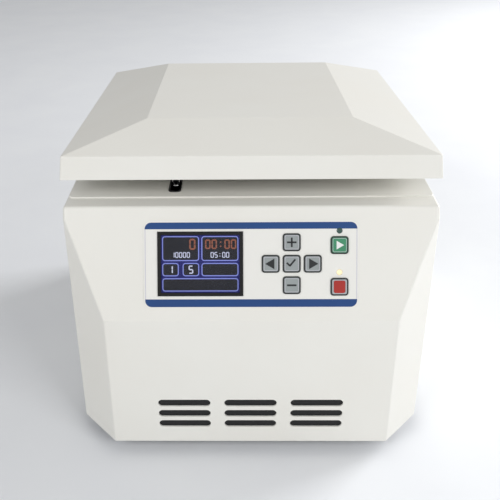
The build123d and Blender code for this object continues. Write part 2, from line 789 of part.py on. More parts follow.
def make_bearings():
    """The motor's lower and upper bearings."""
    lows = [MOTOR_LOW + MOTOR_END - BEARING_HEIGHT, BOSS_TOP - BEARING_HEIGHT]
    return [
        post(BEARING_RADIUS, low, low + BEARING_HEIGHT, 0, CHAMBER_Y)
        - post(SHAFT_RADIUS + RUNNING_GAP, low - 1, low + BEARING_HEIGHT + 1, 0, CHAMBER_Y)
        for low in lows
    ]


STATOR_LOW = MOTOR_LOW + (MOTOR_LENGTH - STATOR_LENGTH) / 2


def make_stator():
    """The wound stator inside the motor's can."""
    ring = post(MOTOR_RADIUS - MOTOR_WALL, STATOR_LOW, STATOR_LOW + STATOR_LENGTH, 0, CHAMBER_Y)
    return ring - post(STATOR_BORE, STATOR_LOW - 1, STATOR_LOW + STATOR_LENGTH + 1, 0, CHAMBER_Y)


def make_shaft():
    """The motor's shaft, with the thread that clamps the rotor."""
    shaft = post(SHAFT_RADIUS, MOTOR_LOW + 1, ROTOR_Z, 0, CHAMBER_Y)
    return shaft + post(SHAFT_THREAD_RADIUS, ROTOR_Z, KNOB_Z + KNOB_BORE - 2, 0, CHAMBER_Y)


KNOB_BORE = 13.0


def make_armature():
    """The magnet rotor on the motor's shaft."""
    low, high = STATOR_LOW, STATOR_LOW + STATOR_LENGTH
    drum = post(STATOR_BORE - MAGNET_GAP, low, high, 0, CHAMBER_Y)
    return drum - post(SHAFT_RADIUS, low - 1, high + 1, 0, CHAMBER_Y)


LAND_INNER = 24.0
LAND_OUTER = ROTOR_RADIUS - ROTOR_RIM - CUSHION_WALL
ROTOR_HUB_DROP = 14.0


def make_rotor_disc():
    """The aluminium rotor: a rimmed plate whose raised land has radial tube grooves."""
    rim_inner = ROTOR_RADIUS - ROTOR_RIM
    disc = turned(
        [
            (SHAFT_THREAD_RADIUS, ROTOR_Z),
            (SHAFT_RADIUS, ROTOR_Z),
            (SHAFT_RADIUS, ROTOR_Z - ROTOR_HUB_DROP),
            (ROTOR_HUB_RADIUS, ROTOR_Z - ROTOR_HUB_DROP),
            (ROTOR_HUB_RADIUS, ROTOR_Z),
            (ROTOR_RADIUS, ROTOR_Z),
            (ROTOR_RADIUS, COVER_Z),
            (rim_inner, COVER_Z),
            (rim_inner, ROTOR_Z + ROTOR_FLOOR),
            (LAND_OUTER, ROTOR_Z + ROTOR_FLOOR),
            (LAND_OUTER, LAND_Z),
            (LAND_INNER, LAND_Z),
            (LAND_INNER, ROTOR_Z + ROTOR_FLOOR),
            (ROTOR_HUB_RADIUS, ROTOR_Z + ROTOR_FLOOR),
            (ROTOR_HUB_RADIUS, COVER_Z),
            (SHAFT_THREAD_RADIUS, COVER_Z),
        ]
    )
    middle = (LAND_INNER + LAND_OUTER) / 2
    groove = Pos(middle, 0, LAND_Z) * Box(LAND_OUTER - LAND_INNER + 4, TUBE_GROOVE, TUBE_GROOVE)
    for step in range(TUBE_COUNT):
        disc -= Pos(0, CHAMBER_Y, 0) * Rot(0, 0, 360 * step / TUBE_COUNT) * groove
    return disc


def make_cushion():
    """The rubber ring that the sealed ends of the tubes press on."""
    outer = ROTOR_RADIUS - ROTOR_RIM
    low, high = ROTOR_Z + ROTOR_FLOOR, COVER_Z - 1
    ring = post(outer, low, high, 0, CHAMBER_Y)
    return ring - post(outer - CUSHION_WALL, low - 1, high + 1, 0, CHAMBER_Y)


def make_cover():
    """The rotor's flat cover, stiffened by a raised ring."""
    cover = post(ROTOR_RADIUS - 1, COVER_Z, WASHER_Z, 0, CHAMBER_Y)
    bead = Pos(0, CHAMBER_Y, WASHER_Z) * Torus(ROTOR_RADIUS - COVER_RING_INSET, 1.5)
    reach = ROTOR_RADIUS
    low, high = CHAMBER_Y - reach, CHAMBER_Y + reach
    bead -= block(-reach, reach, low, high, COVER_Z - COVER_SHEET, COVER_Z)
    return cover + bead - post(SHAFT_THREAD_RADIUS + RUNNING_GAP, COVER_Z - 1, KNOB_Z, 0, CHAMBER_Y)


def make_washer():
    """The washer under the rotor's nut."""
    ring = post(ROTOR_HUB_RADIUS, WASHER_Z, KNOB_Z, 0, CHAMBER_Y)
    return ring - post(SHAFT_THREAD_RADIUS + RUNNING_GAP, WASHER_Z - 1, KNOB_Z + 1, 0, CHAMBER_Y)


def make_knob():
    """The fluted nut that clamps the cover and the rotor."""
    knob = post(KNOB_RADIUS, KNOB_Z, KNOB_Z + KNOB_HEIGHT, 0, CHAMBER_Y)
    knob = fillet(knob.edges().sort_by(Axis.Z)[-1], 2.0)
    for x, y in ring_places(KNOB_FLUTES, KNOB_RADIUS + 1.2):
        knob -= post(2.2, KNOB_Z + 2, KNOB_Z + KNOB_HEIGHT + 1, x, y)
    return knob - post(
        SHAFT_THREAD_RADIUS + RUNNING_GAP, KNOB_Z - 1, KNOB_Z + KNOB_BORE, 0, CHAMBER_Y
    )


DISPLAY_LIP = 1.5
BOARD_TOP = -10.0
BOARD_ACROSS = 172.0
BOARD_UP = 70.0
STANDOFF_RADIUS = 2.5
STANDOFF_ACROSS = 82.5
STANDOFF_LOW = 16.5
STANDOFF_HIGH = 80.5
KEY_BASE = -2.6
SWITCH_TOP = -6.6


def make_label():
    """The printed control label, with openings for display, keys and lamps."""
    label = on_panel(
        0, LABEL_LOW + LABEL_HEIGHT / 2, LABEL_WIDTH, LABEL_HEIGHT, 0, LABEL_SHEET, LABEL_CORNER
    )
    for cut in panel_openings(-SHEET, SHEET):
        label -= cut
    return label


def make_display_bezel():
    """The black frame of the display, with its lip on top of the label."""
    lip = 2 * DISPLAY_LIP
    frame = on_panel(
        DISPLAY_ACROSS, DISPLAY_UP, DISPLAY_WIDTH, DISPLAY_HEIGHT, LABEL_SHEET, LABEL_SHEET + 0.8
    )
    frame += on_panel(
        DISPLAY_ACROSS,
        DISPLAY_UP,
        DISPLAY_WIDTH - lip,
        DISPLAY_HEIGHT - lip,
        -DISPLAY_DEPTH,
        LABEL_SHEET + 0.4,
    )
    return frame - on_panel(
        DISPLAY_ACROSS,
        DISPLAY_UP,
        DISPLAY_WIDTH - 2 * lip,
        DISPLAY_HEIGHT - 2 * lip,
        -DISPLAY_DEPTH - 1,
        SHEET,
    )


def display_inner(inner, outer):
    """A plate that fills the display's frame."""
    lip = 4 * DISPLAY_LIP
    return on_panel(
        DISPLAY_ACROSS, DISPLAY_UP, DISPLAY_WIDTH - lip, DISPLAY_HEIGHT - lip, inner, outer
    )


def make_control_board():
    """The circuit board behind the panel."""
    up = (STANDOFF_LOW + STANDOFF_HIGH) / 2
    return on_panel(0, up, BOARD_ACROSS, BOARD_UP, BOARD_TOP - BOARD_SHEET, BOARD_TOP)


def make_standoffs():
    """The standoffs of the control board and of the power board."""
    posts = []
    for across in (-STANDOFF_ACROSS, STANDOFF_ACROSS):
        for up in (STANDOFF_LOW, STANDOFF_HIGH):
            posts.append(panel_pin(across, up, STANDOFF_RADIUS, BOARD_TOP, -SHEET))
    for x in (POWER_LEFT + POWER_HOLE_INSET, POWER_RIGHT - POWER_HOLE_INSET):
        for y in (POWER_FRONT + POWER_HOLE_INSET, POWER_REAR - POWER_HOLE_INSET):
            posts.append(post(STANDOFF_RADIUS, FLOOR_Z, FLOOR_Z + POWER_STAND, x, y))
    return posts


def make_key_switches():
    """A small switch on the board under each key."""
    return [
        on_panel(across, up, 6, 6, BOARD_TOP, SWITCH_TOP) for across, up in key_places().values()
    ]


def make_lamps():
    """The two indicator lamps, from the board through the label."""
    lamps = []
    for across, up in led_places().values():
        lamp = panel_pin(across, up, LED_RADIUS, BOARD_TOP, LABEL_SHEET + 0.5)
        lamps.append(lamp + panel_pin(across, up, LED_RADIUS + 0.5, BOARD_TOP, BOARD_TOP + 2))
    return lamps


def make_key(across, up):
    """A key cap with its retaining lip and its stem."""
    cap = on_panel(across, up, KEY_SIZE, KEY_SIZE, KEY_BASE, LABEL_SHEET + KEY_PROUD, KEY_CORNER)
    lip = KEY_SIZE + 2 * KEY_LIP
    cap += on_panel(across, up, lip, lip, KEY_BASE, -SHEET - RUNNING_GAP)
    return cap + panel_pin(across, up, KEY_STEM / 2, SWITCH_TOP + KEY_TRAVEL + 0.1, KEY_BASE)


KEY_LIP = 0.8
LATCH_INNER = 8.5
LATCH_WALL = 2.0
LATCH_PIN = 2.0
LATCH_FRAME_FRONT = 42.0
LATCH_FRAME_REAR = 103.0
LATCH_CHEEK_FRONT = 77.0
LATCH_TAB = 9.0
LATCH_TAB_SHEET = 2.0
LATCH_TAIL = 18.0
LATCH_FOOT = 11.0
COIL_FRONT = 46.0
COIL_REAR = 74.0
COIL_HALF = 8.0
PLUNGER_RADIUS = 4.0
COIL_BORE = PLUNGER_RADIUS + RUNNING_GAP
PLUNGER_CLEVIS = 1.2


def make_latch_frame():
    """The channel under the deck that carries the catch and its solenoid."""
    low = CATCH_Z - LATCH_TAIL - LATCH_FOOT
    outer = LATCH_INNER + LATCH_WALL
    front, cheek = FRONT_Y + LATCH_FRAME_FRONT, FRONT_Y + LATCH_CHEEK_FRONT
    rear = FRONT_Y + LATCH_FRAME_REAR
    x = LATCH_ACROSS
    frame = block(x - outer, x + outer, front, rear, low, low + LATCH_WALL)
    for side in (-1, 1):
        inside, outside = x + side * LATCH_INNER, x + side * outer
        tab = x + side * (outer + LATCH_TAB)
        frame += block(min(inside, outside), max(inside, outside), cheek, rear, low, SHOULDER_Z)
        frame += block(
            min(inside, tab),
            max(inside, tab),
            cheek,
            rear - 1,
            SHOULDER_Z - LATCH_TAB_SHEET,
            SHOULDER_Z,
        )
    return frame - rod_x(LATCH_PIN, x - outer - 2, x + outer + 2, CATCH_Y, CATCH_Z)


def make_solenoid():
    """The solenoid that draws the catch back."""
    low = CATCH_Z - LATCH_TAIL - LATCH_FOOT + LATCH_WALL
    coil = block(
        LATCH_ACROSS - COIL_HALF,
        LATCH_ACROSS + COIL_HALF,
        FRONT_Y + COIL_FRONT,
        FRONT_Y + COIL_REAR,
        low,
        CATCH_Z - LATCH_TAIL + COIL_HALF + 1,
    )
    return coil - rod_y(
        COIL_BORE,
        FRONT_Y + COIL_FRONT + 3,
        FRONT_Y + COIL_REAR + 1,
        LATCH_ACROSS,
        CATCH_Z - LATCH_TAIL,
    )


def catch_swing():
    """How far the clevis pin lies in front of the catch's pivot when the catch is drawn back."""
    return LATCH_TAIL * sin(radians(CATCH_RELEASE / 2)) / cos(radians(CATCH_RELEASE / 2))


def make_plunger():
    """The solenoid's plunger, with the forked end and pin that pull the catch's tail."""
    pin_y = CATCH_Y - catch_swing()
    z = CATCH_Z - LATCH_TAIL
    x = LATCH_ACROSS
    plunger = rod_y(PLUNGER_RADIUS, FRONT_Y + COIL_FRONT + 4, pin_y + 4, x, z)
    fork = CATCH_THICKNESS / 2 + FIT
    plunger -= block(x - fork, x + fork, pin_y - 8, pin_y + 5, z - 5, z + 5)
    return plunger + rod_x(PLUNGER_CLEVIS, x - PLUNGER_RADIUS + 1, x + PLUNGER_RADIUS - 1, pin_y, z)


def make_catch():
    """The catch: a wide arm with a narrow beak, drawn over the striker and then swung back."""
    nose_low = LINER_Z - STRIKER_DROP + 2 * STRIKER_WIRE + FIT - CATCH_Z
    nose_top = nose_low + CATCH_NOSE
    reach = CATCH_PIVOT_BACK + STRIKER_WIRE + 1
    arm = [(0, 0), (0, nose_top), (CATCH_ARM, nose_top), (CATCH_ARM, 0)]
    beak = [(0, nose_low), (-reach, nose_low), (-reach, nose_low + CATCH_NOSE / 4), (0, nose_top)]
    x, hub_half = LATCH_ACROSS, LATCH_INNER - FIT
    beak_half = STRIKER_HALF_WIDTH - STRIKER_WIRE - FIT
    catch = rod_x(CATCH_HUB, x - hub_half, x + hub_half, CATCH_Y, CATCH_Z)
    for outline, half in ((arm, CATCH_ARM_WIDTH / 2), (beak, beak_half)):
        catch += profile_x([(CATCH_Y + y, CATCH_Z + z) for y, z in outline], x - half, x + half)
    swing = Pos(x, CATCH_Y, CATCH_Z) * Rot(CATCH_RELEASE / 2, 0, 0)
    tail = Box(CATCH_THICKNESS, CATCH_TAIL_WIDTH, CATCH_TAIL_END)
    catch += swing * Pos(0, 0, -CATCH_TAIL_END / 2) * tail
    slot = 2 * (PLUNGER_CLEVIS + RUNNING_GAP)
    catch -= swing * Pos(0, 0, -LATCH_TAIL) * Box(CATCH_THICKNESS + 2, slot, slot + 1)
    catch -= rod_x(LATCH_PIN + RUNNING_GAP, x - LATCH_INNER, x + LATCH_INNER, CATCH_Y, CATCH_Z)
    return catch.rotate(Axis((0, CATCH_Y, CATCH_Z), (-1, 0, 0)), CATCH_RELEASE)


CATCH_HUB = 4.6
CATCH_NOSE = 4.6
CATCH_ARM = 5.8
CATCH_TAIL_WIDTH = 5.2
CATCH_TAIL_END = LATCH_TAIL + 3.4


def make_striker():
    """The chrome loop under the lid that the catch holds, on its plate."""
    low = LINER_Z - STRIKER_DROP + STRIKER_WIRE
    bend = STRIKER_HALF_WIDTH * 0.6
    y = STRIKER_Y
    left, right = LATCH_ACROSS - STRIKER_HALF_WIDTH, LATCH_ACROSS + STRIKER_HALF_WIDTH
    path = FilletPolyline(
        (left, y, LINER_Z), (left, y, low), (right, y, low), (right, y, LINER_Z), radius=bend
    )
    wire = sweep(Plane(origin=path @ 0, z_dir=path % 0) * Circle(STRIKER_WIRE), path=path)
    plate = Pos(LATCH_ACROSS, y, LINER_Z - 0.75) * Box(20, 12, 1.5)
    return wire + plate


def lid_block(inset, low):
    """The lid's outer shape, drawn in by inset: a drafted rim under a hipped roof."""
    half = HALF_WIDTH + LID_OVERHANG - inset
    front, rear = REAR_Y - LID_DEPTH + inset, REAR_Y - inset
    knee, top = RIM_Z + RIM_HEIGHT - inset / 2, RIM_Z + RIM_HEIGHT + ROOF_RISE - inset
    across = [
        (-half, low),
        (-half + RIM_DRAFT, knee),
        (-half + ROOF_INSET_X, top),
        (half - ROOF_INSET_X, top),
        (half - RIM_DRAFT, knee),
        (half, low),
    ]
    along = [
        (front, low),
        (front + RIM_DRAFT, knee),
        (front + ROOF_INSET_Y, top),
        (rear - ROOF_INSET_Y, top),
        (rear, knee),
        (rear, low),
    ]
    face = make_face(Polyline(*[(x, front - 5, z) for x, z in across], close=True))
    return extrude(face, amount=LID_DEPTH + 10, dir=(0, 1, 0)) & profile_x(along, -half, half)


def make_lid_shell():
    """The folded steel lid, hollow below."""
    outside = lid_block(0, RIM_Z)
    outside = fillet(outside.edges().filter_by(lambda e: e.center().Z > RIM_Z + 1), LID_EDGE_RADIUS)
    shell = outside - lid_block(LID_SHEET, RIM_Z - 1)
    for x, z in hinge_screw_places(1):
        shell -= rod_y(SCREW_RADIUS + RUNNING_GAP, REAR_Y - 2 * LID_SHEET, REAR_Y + 1, x, z)
    return shell


def make_liner():
    """The inner pan of the lid, with a shallow dish over the rotor."""
    room = lid_block(LID_SHEET, RIM_Z - 1)
    half = CABINET_WIDTH
    pan = room & block(-half, half, FRONT_Y, REAR_Y, LINER_Z, LINER_Z + LINER_SHEET)
    rim = room & block(-half, half, FRONT_Y, REAR_Y, LINER_Z, LINER_Z + LINER_FLANGE)
    rim -= offset_room(LINER_SHEET)
    dish = post(LINER_DISH, LINER_Z - LINER_PLUG_DROP, LINER_Z + LINER_SHEET, 0, CHAMBER_Y)
    hollow = post(
        LINER_DISH - LINER_SHEET,
        LINER_Z - LINER_PLUG_DROP + LINER_SHEET,
        LINER_Z + LINER_SHEET + 1,
        0,
        CHAMBER_Y,
    )
    liner = pan + rim + dish - hollow
    for x, y in liner_screw_places():
        liner -= post(SCREW_RADIUS + RUNNING_GAP, LINER_Z - 1, LINER_Z + 3, x, y)
    for x, z in hinge_screw_places(1):
        liner -= rod_y(SCREW_RADIUS + RUNNING_GAP, REAR_Y - 4 * LINER_SHEET, REAR_Y, x, z)
    return liner


def offset_room(wall):
    """The lid's inside, a wall's thickness smaller, to hollow the liner's flange."""
    return lid_block(LID_SHEET + wall, RIM_Z - 1)


LINER_FLANGE = 9.0
LINER_DISH_MARGIN = 10.0
LINER_DISH = BOWL_RADIUS - LINER_DISH_MARGIN
LINER_SCREW_INSET_X = 16.0
LINER_SCREW_INSET_Y = 36.5


def liner_screw_places():
    """Six screws round the liner."""
    x = HALF_WIDTH - LINER_SCREW_INSET_X
    middle, reach = REAR_Y - LID_DEPTH / 2, LID_DEPTH / 2 - LINER_SCREW_INSET_Y
    return [(side * x, middle + step * reach) for side in (-1, 1) for step in (-1, 0, 1)]


def make_lid_screws():
    """The screws of the liner and of the lid leaves."""
    screws = []
    for x, y in liner_screw_places():
        screws.append(screw_up(x, y, LINER_Z, SCREW_GRIP))
    for x, z in hinge_screw_places(1):
        screws.append(
            rear_screw(x, z, REAR_Y + HINGE_LEAF, HINGE_LEAF + SCREW_GRIP, LEAF_SCREW_HEAD)
        )
    return screws


POWER_LEFT = 20.0
POWER_RIGHT = 130.0
POWER_BACK = 16.0
POWER_DEPTH = 64.0
POWER_FRONT = FRONT_Y + POWER_BACK
POWER_REAR = POWER_FRONT + POWER_DEPTH
POWER_STAND = 8.0
POWER_HOLE_INSET = 6.0
SINK_INSET = 14.0
SINK_FINS = 5
SINK_PITCH = 5.0
SINK_FIN = 1.6
SINK_HEIGHT = 24.0
SINK_FOOT = 4.0
CAPACITOR_COUNT = 3
CAPACITOR_RADIUS = 7.0
CAPACITOR_PITCH = 17.0
CAPACITOR_HEIGHT = 26.0
CAPACITOR_BACK = 40.0


def make_power_board():
    """The motor drive board, with its heat sink and capacitors."""
    low = FLOOR_Z + POWER_STAND
    top = low + BOARD_SHEET
    board = block(POWER_LEFT, POWER_RIGHT, POWER_FRONT, POWER_REAR, low, top)
    sink, front, rear = POWER_RIGHT - SINK_INSET, POWER_FRONT + SINK_INSET, POWER_REAR - SINK_INSET
    for step in range(SINK_FINS):
        x = sink - step * SINK_PITCH
        board += block(x, x + SINK_FIN, front, rear, top, top + SINK_HEIGHT)
    far = sink - (SINK_FINS - 1) * SINK_PITCH
    board += block(far, sink + SINK_FIN, front, rear, top, top + SINK_FOOT)
    for step in range(CAPACITOR_COUNT):
        x = POWER_LEFT + CAPACITOR_PITCH * (step + 1)
        y = POWER_FRONT + CAPACITOR_BACK
        board += post(CAPACITOR_RADIUS, top, top + CAPACITOR_HEIGHT, x, y)
    return board


def make_transformer():
    """The mains transformer: a stack of plates with its coil."""
    x, y = TRANSFORMER_ACROSS, FRONT_Y + TRANSFORMER_BACK
    half, stack = CORE_WIDTH / 2, CORE_STACK / 2
    core = block(x - half, x + half, y - stack, y + stack, FLOOR_Z, FLOOR_Z + CORE_HEIGHT)
    half, reach = CORE_WIDTH / 2 - CORE_LIMB, COIL_LENGTH / 2
    low, high = FLOOR_Z + CORE_YOKE, FLOOR_Z + CORE_HEIGHT - CORE_YOKE
    return core + block(x - half, x + half, y - reach, y + reach, low, high)


TRANSFORMER_ACROSS = -72.0
TRANSFORMER_BACK = 48.0
CORE_WIDTH = 60.0
CORE_STACK = 36.0
CORE_HEIGHT = 50.0
CORE_LIMB = 12.0
CORE_YOKE = 10.0
COIL_LENGTH = 56.0


def make_inlet():
    """The mains inlet: a shrouded cavity for a cable connector."""
    w, h = INLET_BODY_WIDTH, INLET_BODY_HEIGHT
    body = rear_block(INLET_ACROSS, INLET_UP, w - 0.2, h - 0.2, -INLET_BODY_DEPTH, INLET_BEZEL)
    body += rear_block(INLET_ACROSS, INLET_UP, w + 4, h + 4, 0, INLET_BEZEL)
    wall = 2 * INLET_WALL
    depth = INLET_BEZEL - INLET_CAVITY_DEPTH
    cavity = rear_block(INLET_ACROSS, INLET_UP, w - wall, h - wall, depth, INLET_BEZEL + 1)
    uprights = cavity.edges().filter_by(Axis.Y).group_by(Axis.Z)[-1]
    body -= chamfer(uprights, 4)
    for pin in inlet_pin_blocks():
        body -= pin
    return body


def inlet_pin_blocks():
    """The three contact blades: two on one level and the middle one above."""
    front = INLET_BEZEL - INLET_CAVITY_DEPTH + PIN_REACH
    return [
        rear_block(
            INLET_ACROSS + step * PIN_SPACING,
            INLET_UP + (2 if step == 0 else -2),
            PIN_WIDTH,
            PIN_HEIGHT,
            -INLET_BODY_DEPTH - 7,
            front,
        )
        for step in (-1, 0, 1)
    ]


def make_switch_housing():
    """The frame of the mains switch."""
    w, h = SWITCH_BODY_WIDTH, SWITCH_BODY_HEIGHT
    body = rear_block(SWITCH_ACROSS, SWITCH_UP, w - 0.2, h - 0.2, -SWITCH_BODY_DEPTH, 2)
    body += rear_block(SWITCH_ACROSS, SWITCH_UP, w + 3, h + 3, 0, 2)
    body -= rear_block(SWITCH_ACROSS, SWITCH_UP, ROCKER_WIDTH + 2 * FIT, h - 3.4, -12, 3)
    return body - rocker_axle(RUNNING_GAP)


def rocker_axle(gap):
    """The rocker's axle, or its bearing when widened by a gap."""
    half = ROCKER_WIDTH / 2 + 1.6 + gap
    z = BASE_Z + SWITCH_UP
    y = REAR_Y + ROCKER_AXLE_OUT
    return rod_x(ROCKER_PIN_RADIUS + gap, SWITCH_ACROSS - half, SWITCH_ACROSS + half, y, z)


ROCKER_AXLE_OUT = -1.5


def make_rocker():
    """The mains switch's rocker, tipped to off."""
    z, y = BASE_Z + SWITCH_UP, REAR_Y + ROCKER_AXLE_OUT
    outline = [
        (-5.0, -8.5),
        (ROCKER_PROUD, -ROCKER_HALF),
        (ROCKER_WAIST, 0),
        (ROCKER_PROUD, ROCKER_HALF),
        (-5.0, 8.5),
    ]
    half = ROCKER_WIDTH / 2
    rocker = profile_x(
        [(y + out, z + up) for out, up in outline], SWITCH_ACROSS - half, SWITCH_ACROSS + half
    )
    axis = Axis((0, y, z), (1, 0, 0))
    return (rocker + rocker_axle(0)).rotate(axis, ROCKER_TILT)


GUARD_STAND = 3.2
GUARD_RINGS = 4
FAN_AXLE = 2.0


def make_fan_frame():
    """The square fan frame with its motor base and struts."""
    x, z = FAN_ACROSS, BASE_Z + FAN_UP
    rear = REAR_Y - SHEET
    front = rear - FAN_DEPTH
    half = FAN_SIZE / 2
    frame = block(x - half, x + half, front, rear, z - half, z + half)
    frame = fillet(frame.edges().filter_by(Axis.Y), 4)
    frame -= rod_y(FAN_BORE, front - 1, rear + 1, x, z)
    for angle in (45, 135, 225, 315):
        strut = Pos(x, front + 2, z) * Rot(0, angle, 0) * Pos(FAN_BORE / 2 + 2, 0, 0)
        frame += strut * Box(FAN_BORE + 2, 4, 4)
    frame += rod_y(FAN_HUB, front, front + 4, x, z)
    frame += rod_y(FAN_AXLE, front, rear - 3, x, z)
    for px, pz in fan_screw_places():
        frame -= rod_y(SCREW_RADIUS, rear - SCREW_GRIP - 1, rear + 1, px, pz)
    return frame


def make_impeller():
    """The fan's hub and blades."""
    x, z = FAN_ACROSS, BASE_Z + FAN_UP
    rear = REAR_Y - SHEET - 1.5
    front = REAR_Y - SHEET - FAN_DEPTH + 4.5
    wheel = rod_y(FAN_HUB, front, rear, x, z)
    reach = FAN_BORE - FAN_HUB - 1.5
    blade = Pos(FAN_HUB + reach / 2 - 1, 0, 0) * Rot(38, 0, 0) * Box(reach + 2, 1.4, 19)
    for step in range(FAN_BLADES):
        turn = Pos(x, (front + rear) / 2, z) * Rot(0, 360 * step / FAN_BLADES, 0)
        wheel += turn * blade
    return wheel - rod_y(FAN_AXLE + RUNNING_GAP, front - 1, rear - 1.4, x, z)


def make_fan_guard():
    """The wire guard over the fan."""
    x, z = FAN_ACROSS, BASE_Z + FAN_UP
    y = REAR_Y + GUARD_STAND - GUARD_WIRE
    half = FAN_SCREW_PITCH * sqrt(0.5)
    guard = Pos(x, y, z) * Rot(90, 0, 0) * Torus(FAN_BORE, GUARD_WIRE)
    for step in range(1, GUARD_RINGS):
        radius = FAN_BORE * step / GUARD_RINGS
        guard += Pos(x, y, z) * Rot(90, 0, 0) * Torus(radius, GUARD_WIRE)
    for angle in (45, 135):
        wire = Pos(x, y, z) * Rot(0, angle, 0) * Rot(0, 90, 0)
        guard += wire * Cylinder(GUARD_WIRE, 2 * half)
    for px, pz in fan_screw_places():
        guard += rod_y(4.5, REAR_Y, REAR_Y + GUARD_STAND, px, pz)
    for px, pz in fan_screw_places():
        guard -= rod_y(SCREW_RADIUS + RUNNING_GAP, REAR_Y - 1, REAR_Y + 9, px, pz)
    return guard


def ajar(part):
    """Swings a piece of the closed lid to the few degrees at which it stands open."""
    return part.rotate(Axis((0, PIVOT_Y, PIVOT_Z), (-1, 0, 0)), LID_AJAR)


def compound(pieces):
    """One node of several like pieces."""
    return Compound([solid for piece in pieces for solid in piece.solids()])


parts = {
    "cowl": make_cowl(),
    "deck": make_deck(),
    "base_plate": make_base(),
    "rear_panel": make_rear_panel(),
    "feet": compound([make_foot(x, y) for x, y in foot_places()]),
    "cabinet_screws": compound(make_cabinet_screws()),
    "motor_shelf": make_shelf(),
    "shelf_columns": compound(make_columns()),
    "chamber_bowl": make_bowl(),
    "bowl_seal": make_bowl_seal(),
    "chamber_gasket": make_gasket(),
    "guard_ring": make_guard_ring(),
    "motor_dampers": compound(make_dampers()),
    "motor_can": make_motor_can(),
    "motor_flange": make_motor_flange(),
    "motor_bearings": compound(make_bearings()),
    "motor_stator": make_stator(),
    "control_label": make_label(),
    "display_bezel": make_display_bezel(),
    "display_window": display_inner(-0.4, LABEL_SHEET),
    "display_module": display_inner(BOARD_TOP, -0.4),
    "control_board": make_control_board(),
    "board_standoffs": compound(make_standoffs()),
    "key_switches": compound(make_key_switches()),
    "indicator_lamps": compound(make_lamps()),
    "latch_frame": make_latch_frame(),
    "latch_bezel": make_latch_bezel(),
    "latch_solenoid": make_solenoid(),
    "latch_catch": make_catch(),
    "latch_plunger": make_plunger(),
    "power_board": make_power_board(),
    "transformer": make_transformer(),
    "inlet_socket": make_inlet(),
    "inlet_pins": compound(inlet_pin_blocks()),
    "switch_housing": make_switch_housing(),
    "switch_rocker": make_rocker(),
    "fan_frame": make_fan_frame(),
    "fan_impeller": make_impeller(),
    "fan_guard": make_fan_guard(),
    "hinge_cabinet_leaves": make_hinge_leaves(-1),
    "pivot_pins": compound(make_pivot_pins()),
    "motor_shaft": make_shaft(),
    "motor_armature": make_armature(),
    "rotor_disc": make_rotor_disc(),
    "rotor_cushion": make_cushion(),
    "rotor_cover": make_cover(),
    "knob_washer": make_washer(),
    "rotor_knob": make_knob(),
    "lid_shell": ajar(make_lid_shell()),
    "lid_liner": ajar(make_liner()),
    "lid_screws": ajar(compound(make_lid_screws())),
    "striker": ajar(make_striker()),
    "hinge_lid_leaves": ajar(make_hinge_leaves(1)),
}
for name, (across, up) in key_places().items():
    parts[name] = make_key(across, up)

os.makedirs("parts", exist_ok=True)
for name, part in parts.items():
    export_step(part, os.path.join("parts", name + ".step"))
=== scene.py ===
"""Dresses a bench hematocrit centrifuge: cabinet, tilted control panel, ajar lid and rotor.

Sizes are metres unless a class says otherwise. X runs to the right of a user who faces the panel,
Y runs to the rear and Z is up, with the bench at zero.
"""

from __future__ import annotations

import json
import logging
import math
from dataclasses import dataclass, field
from enum import Enum
from functools import cache

import bmesh
import bpy
from mathutils import Matrix, Vector

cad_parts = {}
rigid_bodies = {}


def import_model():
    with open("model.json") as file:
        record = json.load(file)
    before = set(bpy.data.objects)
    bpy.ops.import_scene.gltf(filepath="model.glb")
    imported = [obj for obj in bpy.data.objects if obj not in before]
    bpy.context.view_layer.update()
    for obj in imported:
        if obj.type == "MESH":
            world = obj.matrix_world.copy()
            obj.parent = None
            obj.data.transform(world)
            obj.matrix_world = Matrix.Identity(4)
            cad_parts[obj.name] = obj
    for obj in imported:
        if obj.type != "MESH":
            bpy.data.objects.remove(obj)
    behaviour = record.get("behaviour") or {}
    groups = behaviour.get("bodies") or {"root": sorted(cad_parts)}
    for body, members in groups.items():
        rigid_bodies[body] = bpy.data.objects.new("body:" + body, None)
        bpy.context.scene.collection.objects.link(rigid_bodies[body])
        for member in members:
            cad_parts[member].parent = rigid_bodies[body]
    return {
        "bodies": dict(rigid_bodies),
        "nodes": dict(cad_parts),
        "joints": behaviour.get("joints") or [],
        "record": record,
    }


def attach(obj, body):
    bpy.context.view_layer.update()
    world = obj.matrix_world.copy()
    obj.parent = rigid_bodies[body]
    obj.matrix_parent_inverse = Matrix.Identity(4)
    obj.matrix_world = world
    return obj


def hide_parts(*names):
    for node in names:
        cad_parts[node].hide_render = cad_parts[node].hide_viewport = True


LOG = logging.getLogger("centrifuge")
MM = 0.001

Colour = tuple[float, float, float]
Spot = tuple[float, float, float]

# Places on the CAD model, in metres.
FRONT_FACE = -0.1986
CHAMBER_AXIS = (0.0, 0.0184, 0.0)

# Places on the control panel, in millimetres across it and up its slope.
PAD_ACROSS, PAD_UP = 34.6, 48.7
PAD_STEP_ACROSS, PAD_STEP_UP = 17.8, 18.2
COLUMN_ACROSS = 75.0
START_UP, STOP_UP = 64.4, 29.1
LAMP_ABOVE_KEY = 12.25


def linear(red: int, green: int, blue: int) -> Colour:
    """Turns a colour of 0 to 255 as it looks on a screen into Blender's linear values."""

    def channel(value: int) -> float:
        """Converts one channel."""
        part = value / 255
        return part / 12.92 if part <= 0.04045 else ((part + 0.055) / 1.055) ** 2.4

    return channel(red), channel(green), channel(blue)


class Grain(Enum):
    """How the fine relief of a finish runs."""

    PEEL = "peel"
    BRUSHED = "brushed"
    TURNED = "turned"
    MOULDED = "moulded"
    SMOOTH = "smooth"


